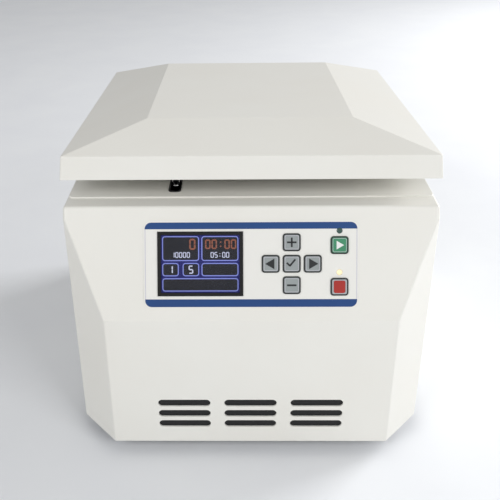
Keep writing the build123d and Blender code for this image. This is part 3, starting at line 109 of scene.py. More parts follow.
@dataclass(frozen=True)
class Finish:
    """One surface finish, built from procedural nodes on Object coordinates.

    Attributes:
        name: The material's name.
        colour: The main colour, linear.
        shade: A second colour that the first drifts towards in soft patches.
        metallic: 0 for paint and plastic, 1 for metal.
        roughness: The middle of the roughness range.
        spread: How far the roughness wanders from its middle.
        grain: The kind of fine relief.
        grain_scale: How many grains there are to the metre.
        relief: The height of the relief in metres.
        patch_scale: How many soft colour patches there are to the metre.
        centre: A point on the upright axis that turning marks go round.
        coat: The strength of a clear coat.
        glow: The strength of light the surface gives off.
        alpha: 1 for solid, less for clear film.
    """

    name: str
    colour: Colour
    shade: Colour
    metallic: float = 0.0
    roughness: float = 0.4
    spread: float = 0.08
    grain: Grain = Grain.SMOOTH
    grain_scale: float = 900.0
    relief: float = 0.00002
    patch_scale: float = 9.0
    centre: Spot = (0.0, 0.0, 0.0)
    coat: float = 0.0
    glow: float = 0.0
    alpha: float = 1.0

    @cache
    def material(self) -> bpy.types.Material:
        """Builds the finish once and hands out the same material afterwards.

        Returns:
            The Blender material.
        """
        made = bpy.data.materials.new(self.name)
        made.use_nodes = True
        tree = made.node_tree
        shader = tree.nodes["Principled BSDF"]
        place = self._coordinates(tree)
        patches = self._noise(tree, place, self.patch_scale, detail=4.0)
        self._paint(tree, shader, patches)
        self._polish(tree, shader, patches)
        if self.grain is not Grain.SMOOTH:
            self._emboss(tree, shader, place)
        shader.inputs["Metallic"].default_value = self.metallic
        shader.inputs["Coat Weight"].default_value = self.coat
        shader.inputs["Coat Roughness"].default_value = 0.12
        shader.inputs["Alpha"].default_value = self.alpha
        if self.glow:
            shader.inputs["Emission Color"].default_value = (*self.colour, 1.0)
            shader.inputs["Emission Strength"].default_value = self.glow
        return made

    def _coordinates(self, tree: bpy.types.NodeTree) -> bpy.types.NodeSocket:
        """Adds Object coordinates, moved so that turning marks are centred.

        Args:
            tree: The material's node tree.

        Returns:
            The socket that gives the coordinates.
        """
        source = tree.nodes.new("ShaderNodeTexCoord")
        centred = tree.nodes.new("ShaderNodeMapping")
        centred.vector_type = "POINT"
        centred.inputs["Location"].default_value = tuple(-value for value in self.centre)
        tree.links.new(source.outputs["Object"], centred.inputs["Vector"])
        return centred.outputs["Vector"]

    def _noise(
        self,
        tree: bpy.types.NodeTree,
        place: bpy.types.NodeSocket,
        scale: float,
        detail: float = 2.0,
    ) -> bpy.types.NodeSocket:
        """Adds a noise texture.

        Args:
            tree: The material's node tree.
            place: The coordinates that it reads.
            scale: Features to the metre.
            detail: How many finer layers it has.

        Returns:
            The socket that gives the noise from 0 to 1.
        """
        noise = tree.nodes.new("ShaderNodeTexNoise")
        noise.inputs["Scale"].default_value = scale
        noise.inputs["Detail"].default_value = detail
        tree.links.new(place, noise.inputs["Vector"])
        return noise.outputs["Fac"]

    def _paint(
        self,
        tree: bpy.types.NodeTree,
        shader: bpy.types.Node,
        patches: bpy.types.NodeSocket,
    ) -> None:
        """Drifts the base colour between the finish's two colours.

        Args:
            tree: The material's node tree.
            shader: The shader that takes the colour.
            patches: The soft patches that mix the two.
        """
        ramp = tree.nodes.new("ShaderNodeValToRGB")
        ramp.color_ramp.elements[0].position = 0.3
        ramp.color_ramp.elements[0].color = (*self.colour, 1.0)
        ramp.color_ramp.elements[1].position = 0.75
        ramp.color_ramp.elements[1].color = (*self.shade, 1.0)
        tree.links.new(patches, ramp.inputs["Fac"])
        tree.links.new(ramp.outputs["Color"], shader.inputs["Base Color"])

    def _polish(
        self,
        tree: bpy.types.NodeTree,
        shader: bpy.types.Node,
        patches: bpy.types.NodeSocket,
    ) -> None:
        """Lets the roughness wander a little.

        Args:
            tree: The material's node tree.
            shader: The shader that takes the roughness.
            patches: The soft patches that move it.
        """
        span = tree.nodes.new("ShaderNodeMapRange")
        span.inputs["To Min"].default_value = max(0.02, self.roughness - self.spread)
        span.inputs["To Max"].default_value = min(1.0, self.roughness + self.spread)
        tree.links.new(patches, span.inputs["Value"])
        tree.links.new(span.outputs["Result"], shader.inputs["Roughness"])

    def _emboss(
        self,
        tree: bpy.types.NodeTree,
        shader: bpy.types.Node,
        place: bpy.types.NodeSocket,
    ) -> None:
        """Adds the fine relief: powder coat, brushing, turning marks or moulded grain.

        Args:
            tree: The material's node tree.
            shader: The shader that takes the relief.
            place: The coordinates that the relief reads.
        """
        if self.grain is Grain.TURNED:
            rings = tree.nodes.new("ShaderNodeTexWave")
            rings.wave_type = "RINGS"
            rings.rings_direction = "Z"
            rings.inputs["Scale"].default_value = self.grain_scale
            rings.inputs["Distortion"].default_value = 1.5
            rings.inputs["Detail"].default_value = 3.0
            tree.links.new(place, rings.inputs["Vector"])
            height = rings.outputs["Fac"]
        else:
            stretched = tree.nodes.new("ShaderNodeMapping")
            across = 0.03 if self.grain is Grain.BRUSHED else 1.0
            stretched.inputs["Scale"].default_value = (across, 1.0, 1.0)
            tree.links.new(place, stretched.inputs["Vector"])
            height = self._noise(tree, stretched.outputs["Vector"], self.grain_scale)
        bump = tree.nodes.new("ShaderNodeBump")
        bump.inputs["Strength"].default_value = 0.6
        bump.inputs["Distance"].default_value = self.relief
        tree.links.new(height, bump.inputs["Height"])
        tree.links.new(bump.outputs["Normal"], shader.inputs["Normal"])


ENAMEL = Finish(
    "satin_white_enamel",
    linear(229, 228, 222),
    linear(226, 224, 217),
    roughness=0.42,
    grain=Grain.PEEL,
    grain_scale=650.0,
    relief=0.00004,
    coat=0.15,
)
LINER_ENAMEL = Finish(
    "liner_enamel",
    linear(222, 221, 216),
    linear(217, 216, 210),
    roughness=0.5,
    grain=Grain.PEEL,
    grain_scale=650.0,
)
ZINC = Finish(
    "zinc_plate",
    (0.52, 0.53, 0.52),
    (0.42, 0.43, 0.44),
    metallic=1.0,
    roughness=0.42,
    spread=0.12,
    grain=Grain.MOULDED,
    grain_scale=260.0,
    relief=0.00002,
    patch_scale=60.0,
)
STAINLESS = Finish(
    "brushed_stainless",
    (0.60, 0.60, 0.59),
    (0.52, 0.52, 0.51),
    metallic=1.0,
    roughness=0.32,
    grain=Grain.BRUSHED,
    grain_scale=2600.0,
    relief=0.00001,
    patch_scale=25.0,
)
SPUN_STAINLESS = Finish(
    "spun_stainless",
    (0.62, 0.62, 0.61),
    (0.54, 0.54, 0.53),
    metallic=1.0,
    roughness=0.3,
    grain=Grain.TURNED,
    grain_scale=420.0,
    relief=0.00001,
    patch_scale=30.0,
    centre=CHAMBER_AXIS,
)
TURNED_ALUMINIUM = Finish(
    "turned_aluminium",
    (0.70, 0.71, 0.72),
    (0.61, 0.62, 0.64),
    metallic=1.0,
    roughness=0.3,
    grain=Grain.TURNED,
    grain_scale=520.0,
    relief=0.000012,
    patch_scale=30.0,
    centre=CHAMBER_AXIS,
)
PLATED_STEEL = Finish(
    "plated_steel",
    (0.50, 0.50, 0.51),
    (0.40, 0.40, 0.41),
    metallic=1.0,
    roughness=0.3,
    grain=Grain.MOULDED,
    grain_scale=900.0,
    relief=0.00001,
    patch_scale=120.0,
)
CHROME = Finish(
    "chrome_wire",
    (0.78, 0.78, 0.79),
    (0.70, 0.70, 0.71),
    metallic=1.0,
    roughness=0.12,
    spread=0.05,
    patch_scale=90.0,
)
BLACK_RUBBER = Finish(
    "moulded_black_rubber",
    linear(34, 34, 35),
    linear(44, 44, 44),
    roughness=0.72,
    grain=Grain.MOULDED,
    grain_scale=1500.0,
    relief=0.00004,
    patch_scale=60.0,
)
BLACK_PLASTIC = Finish(
    "grained_black_plastic",
    linear(30, 30, 32),
    linear(38, 38, 40),
    roughness=0.5,
    grain=Grain.MOULDED,
    grain_scale=2200.0,
    relief=0.00003,
    patch_scale=60.0,
)
GLOSS_BLACK = Finish(
    "gloss_black_plastic",
    linear(18, 18, 20),
    linear(24, 24, 26),
    roughness=0.2,
    spread=0.05,
    patch_scale=40.0,
)
DARK_ENAMEL = Finish(
    "dark_motor_enamel",
    linear(60, 61, 63),
    linear(52, 53, 55),
    roughness=0.45,
    grain=Grain.PEEL,
    grain_scale=700.0,
)
IRON = Finish(
    "laminated_iron",
    (0.12, 0.12, 0.12),
    (0.08, 0.08, 0.08),
    metallic=0.8,
    roughness=0.5,
    grain=Grain.MOULDED,
    grain_scale=1200.0,
    patch_scale=80.0,
)
BRASS = Finish(
    "plated_brass",
    (0.72, 0.60, 0.34),
    (0.64, 0.52, 0.28),
    metallic=1.0,
    roughness=0.28,
    patch_scale=150.0,
)
BOARD = Finish(
    "circuit_board",
    linear(28, 92, 58),
    linear(22, 78, 50),
    roughness=0.35,
    grain=Grain.MOULDED,
    grain_scale=600.0,
    relief=0.00003,
    patch_scale=120.0,
)
FILM = Finish(
    "white_label_film",
    linear(230, 229, 224),
    linear(227, 226, 221),
    roughness=0.42,
    grain=Grain.PEEL,
    grain_scale=1800.0,
    relief=0.000008,
)
BLUE_INK = Finish(
    "blue_ink",
    linear(8, 64, 124),
    linear(6, 58, 116),
    roughness=0.45,
    patch_scale=20.0,
)
SILVER_INK = Finish(
    "silver_ink",
    linear(205, 203, 212),
    linear(196, 194, 204),
    roughness=0.3,
    patch_scale=50.0,
)
OUTLINE_INK = Finish(
    "outline_ink",
    linear(34, 36, 38),
    linear(28, 30, 32),
    roughness=0.45,
    patch_scale=80.0,
)
KEY_GREY = Finish(
    "grey_key_film",
    linear(150, 156, 156),
    linear(142, 148, 149),
    roughness=0.42,
    grain=Grain.PEEL,
    grain_scale=1800.0,
    relief=0.000008,
    patch_scale=70.0,
)
KEY_GREEN = Finish(
    "green_key_film",
    linear(62, 140, 102),
    linear(54, 128, 92),
    roughness=0.42,
    grain=Grain.PEEL,
    grain_scale=1800.0,
    relief=0.000008,
    patch_scale=70.0,
)
KEY_RED = Finish(
    "red_ink",
    linear(168, 40, 32),
    linear(156, 34, 28),
    roughness=0.42,
    patch_scale=70.0,
)
WHITE_INK = Finish(
    "white_ink",
    linear(232, 234, 232),
    linear(224, 226, 224),
    roughness=0.36,
    patch_scale=70.0,
)
SCREEN_BLUE = Finish(
    "screen_blue",
    linear(14, 16, 92),
    linear(10, 12, 80),
    roughness=0.6,
    patch_scale=60.0,
    glow=0.6,
)
SCREEN_DARK = Finish(
    "screen_dark",
    linear(26, 26, 32),
    linear(20, 20, 28),
    roughness=0.6,
    patch_scale=60.0,
)
SCREEN_LINE = Finish(
    "screen_line",
    linear(130, 140, 214),
    linear(120, 130, 206),
    roughness=0.3,
    patch_scale=60.0,
    glow=0.55,
)
SCREEN_DIGIT = Finish(
    "screen_digit",
    linear(196, 200, 222),
    linear(186, 190, 214),
    roughness=0.3,
    patch_scale=60.0,
    glow=0.5,
)
SCREEN_AMBER = Finish(
    "screen_amber",
    linear(150, 92, 70),
    linear(138, 82, 62),
    roughness=0.3,
    patch_scale=60.0,
    glow=0.35,
)
CLEAR = Finish(
    "display_glass_clear",
    (0.02, 0.025, 0.05),
    (0.015, 0.02, 0.04),
    roughness=0.15,
    spread=0.04,
    patch_scale=30.0,
    alpha=0.1,
)
LAMP_DARK = Finish(
    "lamp_unlit",
    linear(62, 88, 82),
    linear(52, 76, 70),
    roughness=0.2,
    patch_scale=300.0,
    coat=0.5,
)
LAMP_LIT = Finish(
    "lamp_lit",
    linear(246, 234, 196),
    linear(244, 226, 180),
    roughness=0.2,
    patch_scale=300.0,
    glow=0.22,
)
MESH_BLACK = Finish(
    "dust_mesh",
    linear(26, 26, 28),
    linear(16, 16, 17),
    roughness=0.8,
    grain=Grain.MOULDED,
    grain_scale=900.0,
    relief=0.0003,
    patch_scale=700.0,
)
FLOOR_PAPER = Finish(
    "floor_paper",
    linear(232, 234, 237),
    linear(228, 230, 234),
    roughness=0.8,
)

NODE_FINISHES: dict[str, Finish] = {
    "cowl": ENAMEL,
    "deck": ENAMEL,
    "rear_panel": ENAMEL,
    "lid_shell": ENAMEL,
    "lid_liner": LINER_ENAMEL,
    "base_plate": ZINC,
    "motor_shelf": ZINC,
    "shelf_columns": ZINC,
    "guard_ring": ZINC,
    "latch_frame": ZINC,
    "latch_catch": ZINC,
    "latch_solenoid": ZINC,
    "feet": BLACK_RUBBER,
    "bowl_seal": BLACK_RUBBER,
    "chamber_gasket": BLACK_RUBBER,
    "motor_dampers": BLACK_RUBBER,
    "rotor_cushion": BLACK_RUBBER,
    "chamber_bowl": SPUN_STAINLESS,
    "motor_can": DARK_ENAMEL,
    "motor_flange": TURNED_ALUMINIUM,
    "rotor_disc": TURNED_ALUMINIUM,
    "rotor_cover": TURNED_ALUMINIUM,
    "knob_washer": PLATED_STEEL,
    "motor_bearings": PLATED_STEEL,
    "motor_shaft": PLATED_STEEL,
    "pivot_pins": PLATED_STEEL,
    "board_standoffs": PLATED_STEEL,
    "latch_plunger": PLATED_STEEL,
    "cabinet_screws": PLATED_STEEL,
    "lid_screws": PLATED_STEEL,
    "hinge_cabinet_leaves": STAINLESS,
    "hinge_lid_leaves": STAINLESS,
    "striker": CHROME,
    "fan_guard": CHROME,
    "motor_stator": IRON,
    "motor_armature": IRON,
    "transformer": IRON,
    "inlet_pins": BRASS,
    "control_board": BOARD,
    "power_board": BOARD,
    "control_label": FILM,
    "display_bezel": GLOSS_BLACK,
    "display_module": GLOSS_BLACK,
    "switch_rocker": GLOSS_BLACK,
    "switch_housing": BLACK_PLASTIC,
    "inlet_socket": BLACK_PLASTIC,
    "latch_bezel": BLACK_PLASTIC,
    "key_switches": BLACK_PLASTIC,
    "fan_frame": BLACK_PLASTIC,
    "fan_impeller": BLACK_PLASTIC,
    "rotor_knob": BLACK_PLASTIC,
    "key_plus": KEY_GREY,
    "key_minus": KEY_GREY,
    "key_left": KEY_GREY,
    "key_right": KEY_GREY,
    "key_enter": KEY_GREY,
    "key_start": KEY_GREEN,
    "key_stop": KEY_GREY,
}


def rounded_sheet(width: float, height: float, corner: float) -> bmesh.types.BMesh:
    """Makes a flat rectangle with rounded corners, facing up.

    Args:
        width: Its length along X.
        height: Its length along Y.
        corner: The radius of its corners.

    Returns:
        The new shape.
    """
    shape = bmesh.new()
    bmesh.ops.create_grid(shape, x_segments=1, y_segments=1, size=0.5)
    bmesh.ops.scale(shape, vec=(width, height, 1.0), verts=shape.verts)
    if corner:
        bmesh.ops.bevel(
            shape,
            geom=shape.verts[:],
            offset=corner,
            offset_type="OFFSET",
            segments=6,
            profile=0.5,
            affect="VERTICES",
            material=-1,
        )
    return shape


def outline(shape: bmesh.types.BMesh, line: float) -> bmesh.types.BMesh:
    """Keeps only a line along the edge of a flat shape.

    Args:
        shape: The flat shape, which is changed.
        line: The width of the line.

    Returns:
        The same shape.
    """
    middle = shape.faces[:]
    bmesh.ops.inset_region(
        shape, faces=middle, thickness=line, use_boundary=True, use_even_offset=True
    )
    bmesh.ops.delete(shape, geom=middle, context="FACES")
    return shape


def thicken(shape: bmesh.types.BMesh, thickness: float) -> bmesh.types.BMesh:
    """Raises a flat shape into a closed solid.

    Args:
        shape: The flat shape, which is changed.
        thickness: How far its top rises.

    Returns:
        The same shape.
    """
    raised = bmesh.ops.extrude_face_region(shape, geom=shape.faces[:])["geom"]
    tops = [item for item in raised if isinstance(item, bmesh.types.BMVert)]
    bmesh.ops.translate(shape, vec=(0.0, 0.0, thickness), verts=tops)
    bmesh.ops.recalc_face_normals(shape, faces=shape.faces[:])
    return shape


def plate(width: float, height: float, thickness: float, corner: float) -> bmesh.types.BMesh:
    """Makes a plate with rounded corners, from Z = 0 up."""
    return thicken(rounded_sheet(width, height, corner), thickness)


def ring(
    width: float, height: float, thickness: float, corner: float, line: float
) -> bmesh.types.BMesh:
    """Makes a flat frame with rounded corners, from Z = 0 up."""
    return thicken(outline(rounded_sheet(width, height, corner), line), thickness)


def triangle(radius: float, thickness: float, turn: float) -> bmesh.types.BMesh:
    """Makes a solid arrowhead.

    Args:
        radius: From its middle to its tips.
        thickness: Its height.
        turn: Degrees anticlockwise from pointing along +X.

    Returns:
        The new shape.
    """
    shape = bmesh.new()
    bmesh.ops.create_circle(shape, cap_ends=True, segments=3, radius=radius)
    bmesh.ops.rotate(
        shape,
        cent=(0.0, 0.0, 0.0),
        matrix=Matrix.Rotation(math.radians(turn - 90.0), 3, "Z"),
        verts=shape.verts,
    )
    return thicken(shape, thickness)


def numeral(text: str, size: float, thickness: float) -> bmesh.types.BMesh:
    """Makes plain raised figures, centred on the origin.

    Args:
        text: The figures.
        size: The height of a line of them.
        thickness: How far they stand up.

    Returns:
        The new shape.
    """
    curve = bpy.data.curves.new("figures", "FONT")
    curve.body = text
    curve.size = size
    curve.resolution_u = 2
    curve.align_x = "CENTER"
    curve.align_y = "CENTER"
    writer = bpy.data.objects.new("figures", curve)
    bpy.context.collection.objects.link(writer)
    bpy.context.view_layer.update()
    flat = bpy.data.meshes.new_from_object(
        writer.evaluated_get(bpy.context.evaluated_depsgraph_get())
    )
    shape = bmesh.new()
    shape.from_mesh(flat)
    bpy.data.objects.remove(writer)
    bpy.data.curves.remove(curve)
    bpy.data.meshes.remove(flat)
    bmesh.ops.remove_doubles(shape, verts=shape.verts, dist=1e-6)
    for face in shape.faces:
        if face.normal.z < 0:
            face.normal_flip()
    return thicken(shape, thickness)


class Mould:
    """Gathers shapes into one mesh and makes the finished piece of it."""

    def __init__(self, name: str) -> None:
        """Starts an empty mould.

        Args:
            name: The piece's name.
        """
        self.name = name
        self.shape = bmesh.new()

    def add(self, part: bmesh.types.BMesh, place: Matrix | None = None) -> Mould:
        """Adds a shape at its place and frees it.

        Args:
            part: The shape.
            place: Where it goes, or None where it is.

        Returns:
            The mould.
        """
        if place is not None:
            bmesh.ops.transform(part, matrix=place, verts=part.verts)
        carrier = bpy.data.meshes.new("carrier")
        part.to_mesh(carrier)
        part.free()
        self.shape.from_mesh(carrier)
        bpy.data.meshes.remove(carrier)
        return self

    def piece(self, finish: Finish, body: str, soft_edge: float = 0.0) -> bpy.types.Object:
        """Turns the mould into an object that moves with a body.

        Args:
            finish: What it is finished in.
            body: The body that carries it.
            soft_edge: The width of a bevel on its sharp edges, or 0 for none.

        Returns:
            The object.
        """
        mesh = bpy.data.meshes.new(self.name)
        self.shape.to_mesh(mesh)
        self.shape.free()
        mesh.materials.append(finish.material())
        made = bpy.data.objects.new(self.name, mesh)
        bpy.context.collection.objects.link(made)
        if soft_edge:
            softened = made.modifiers.new("soft_edge", "BEVEL")
            softened.width = soft_edge
            softened.segments = 2
            softened.limit_method = "ANGLE"
            softened.angle_limit = math.radians(40.0)
        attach(made, body)
        LOG.info("%s rides on %s", self.name, body)
        return made


@dataclass(frozen=True)
class PanelPlane:
    """The tilted control panel's outer face: places go across it, up it and out from it."""

    front: float = FRONT_FACE
    knee: float = 0.147
    setback: float = 0.042
    rise: float = 0.088

    def place(self, across: float, up: float, out: float) -> Matrix:
        """Finds a place on the panel.

        Args:
            across: Millimetres to the right of the middle.
            up: Millimetres up the slope from the knee.
            out: Millimetres out of the panel's face.

        Returns:
            A matrix whose X runs across, Y up the slope and Z out of the panel.
        """
        tilt = math.atan2(self.setback, self.rise)
        right = Vector((1.0, 0.0, 0.0))
        upward = Vector((0.0, math.sin(tilt), math.cos(tilt)))
        outward = Vector((0.0, -math.cos(tilt), math.sin(tilt)))
        origin = Vector((0.0, self.front, self.knee))
        origin += (right * across + upward * up + outward * out) * MM
        place = Matrix((right, upward, outward)).transposed().to_4x4()
        place.translation = origin
        return place


@dataclass
class ControlLabel:
    """The printed parts of the control label. Sizes are millimetres on the panel."""

    panel: PanelPlane
    width: float = 180.0
    low: float = 12.0
    high: float = 84.0
    corner: float = 5.5
    bar_low_top: float = 18.6
    bar_high_foot: float = 78.3
    surface: float = 0.6
    ink: float = 0.07
    border: float = 0.7

    def _band(self, foot: float, top: float) -> bmesh.types.BMesh:
        """Cuts a band out of the label's outline, so that its outer corners are the label's.

        Args:
            foot: The band's lower edge, up from the knee.
            top: The band's upper edge.

        Returns:
            The band, about the label's middle.
        """
        height = self.high - self.low
        middle = (self.high + self.low) / 2
        shape = rounded_sheet(self.width * MM, height * MM, self.corner * MM)
        for edge, keep_above in ((foot, True), (top, False)):
            bmesh.ops.bisect_plane(
                shape,
                geom=shape.verts[:] + shape.edges[:] + shape.faces[:],
                plane_co=(0.0, (edge - middle) * MM, 0.0),
                plane_no=(0.0, 1.0, 0.0),
                clear_inner=keep_above,
                clear_outer=not keep_above,
            )
        return thicken(shape, self.ink * MM)

    def build(self) -> None:
        """Makes the two blue bars and the fine silver lines between their ends."""
        place = self.panel.place(0.0, (self.high + self.low) / 2, self.surface)
        bars = Mould("label_blue_bars")
        bars.add(self._band(self.low, self.bar_low_top), place)
        bars.add(self._band(self.bar_high_foot, self.high), place)
        bars.piece(BLUE_INK, "cabinet")
        sides = Mould("label_side_lines")
        length = self.bar_high_foot - self.bar_low_top
        centre = (self.bar_high_foot + self.bar_low_top) / 2
        for side in (-1.0, 1.0):
            across = side * (self.width - self.border) / 2
            line = plate(self.border * MM, length * MM, self.ink * MM, 0.0)
            sides.add(line, self.panel.place(across, centre, self.surface))
        sides.piece(SILVER_INK, "cabinet")


class Mark(Enum):
    """The sign printed on a key."""

    PLUS = "plus"
    MINUS = "minus"
    TICK = "tick"
    LEFT = "left"
    RIGHT = "right"
    GO = "go"
    HALT = "halt"


@dataclass(frozen=True)
class Key:
    """One key: its node, its place on the panel in millimetres and its sign."""

    node: str
    across: float
    up: float
    mark: Mark


@dataclass
class Keypad:
    """The printed outlines and signs of the seven keys. Sizes are millimetres on the panel.

    Attributes:
        panel: The panel that the keys stand in.
        size: The length of a key's sides.
        corner: The radius of its corners.
        line: The width of its dark outline.
        top: How far its face stands out of the panel.
        ink: The thickness of what is printed on it.
        emboss_gap: From the outline to the raised line inside it.
        emboss_line: The width of the raised line.
        emboss_corner: The radius of its corners.
        stroke: The width of a sign's strokes.
        sign_length: The length of the strokes of the plus and the minus.
        square: The stop sign's width, height and corner radius.
        arrow: From the middle of an arrowhead to its tips.
        start_arrow: The same for the start sign.
        arrow_shift: How far an arrowhead's middle lies behind the key's.
        keys: The keys.
    """

    panel: PanelPlane
    size: float = 14.8
    corner: float = 2.4
    line: float = 1.1
    top: float = 1.7
    ink: float = 0.08
    emboss_gap: float = 0.5
    emboss_line: float = 0.3
    emboss_corner: float = 1.4
    stroke: float = 1.5
    sign_length: float = 8.0
    square: tuple[float, float, float] = (9.8, 10.6, 1.6)
    arrow: float = 5.2
    start_arrow: float = 4.2
    arrow_shift: float = 0.5
    keys: tuple[Key, ...] = (
        Key("key_plus", PAD_ACROSS, PAD_UP + PAD_STEP_UP, Mark.PLUS),
        Key("key_minus", PAD_ACROSS, PAD_UP - PAD_STEP_UP, Mark.MINUS),
        Key("key_left", PAD_ACROSS - PAD_STEP_ACROSS, PAD_UP, Mark.LEFT),
        Key("key_right", PAD_ACROSS + PAD_STEP_ACROSS, PAD_UP, Mark.RIGHT),
        Key("key_enter", PAD_ACROSS, PAD_UP, Mark.TICK),
        Key("key_start", COLUMN_ACROSS, START_UP, Mark.GO),
        Key("key_stop", COLUMN_ACROSS, STOP_UP, Mark.HALT),
    )

    def _bar(
        self, length: float, turn: float = 0.0, shift: Spot = (0.0, 0.0, 0.0)
    ) -> bmesh.types.BMesh:
        """Makes one stroke of a sign.

        Args:
            length: The stroke's length.
            turn: Degrees anticlockwise from level.
            shift: Its middle from the key's middle.

        Returns:
            The stroke.
        """
        stroke = plate(length * MM, self.stroke * MM, self.ink * MM, self.stroke * 0.2 * MM)
        moved = Matrix.Translation(Vector(shift) * MM)
        turned = moved @ Matrix.Rotation(math.radians(turn), 4, "Z")
        bmesh.ops.transform(stroke, matrix=turned, verts=stroke.verts)
        return stroke

    def _arrowhead(self, mark: Mark) -> bmesh.types.BMesh:
        """Makes the arrowhead of the left, right or start key, about the key's middle."""
        radius = self.start_arrow if mark is Mark.GO else self.arrow
        side = -1.0 if mark is Mark.LEFT else 1.0
        shape = triangle(radius * MM, self.ink * MM, 180.0 if side < 0.0 else 0.0)
        shift = (-side * self.arrow_shift * MM, 0.0, 0.0)
        bmesh.ops.translate(shape, vec=shift, verts=shape.verts)
        return shape

    def _sign(self, mark: Mark) -> list[bmesh.types.BMesh]:
        """Draws a key's sign.

        Args:
            mark: Which sign.

        Returns:
            The strokes that make it up, about the key's middle.
        """
        if mark is Mark.PLUS:
            return [self._bar(self.sign_length), self._bar(self.sign_length, 90.0)]
        if mark is Mark.MINUS:
            return [self._bar(self.sign_length)]
        if mark is Mark.TICK:
            return [
                self._bar(3.8, -45.0, (-2.9, -0.4, 0.0)),
                self._bar(7.6, 50.0, (0.6, 0.9, 0.0)),
            ]
        if mark is Mark.HALT:
            width, height, corner = self.square
            return [plate(width * MM, height * MM, self.ink * MM, corner * MM)]
        return [self._arrowhead(mark)]

    def build(self) -> None:
        """Makes each key's outline, its embossed inner line and its sign."""
        inks = {Mark.HALT: KEY_RED, Mark.GO: WHITE_INK}
        for key in self.keys:
            face = self.panel.place(key.across, key.up, self.top)
            edge = ring(
                self.size * MM, self.size * MM, self.ink * MM, self.corner * MM, self.line * MM
            )
            inner = (self.size - 2.0 * (self.line + self.emboss_gap)) * MM
            corner, line = self.emboss_corner * MM, self.emboss_line * MM
            emboss = ring(inner, inner, self.ink * 0.5 * MM, corner, line)
            Mould(key.node + "_outline").add(edge, face).piece(OUTLINE_INK, key.node)
            Mould(key.node + "_emboss").add(emboss, face).piece(SILVER_INK, key.node)
            sign = Mould(key.node + "_sign")
            for stroke in self._sign(key.mark):
                sign.add(stroke, face)
            sign.piece(inks.get(key.mark, OUTLINE_INK), key.node)


@dataclass(frozen=True)
class Pane:
    """One dark pane of the display, as shares of the screen from its upper left corner."""

    left: float
    right: float
    top: float
    foot: float


@dataclass(frozen=True)
class Row:
    """A row of figures: its text, its height in millimetres, and its middle as shares."""

    text: str
    height: float
    across: float
    down: float


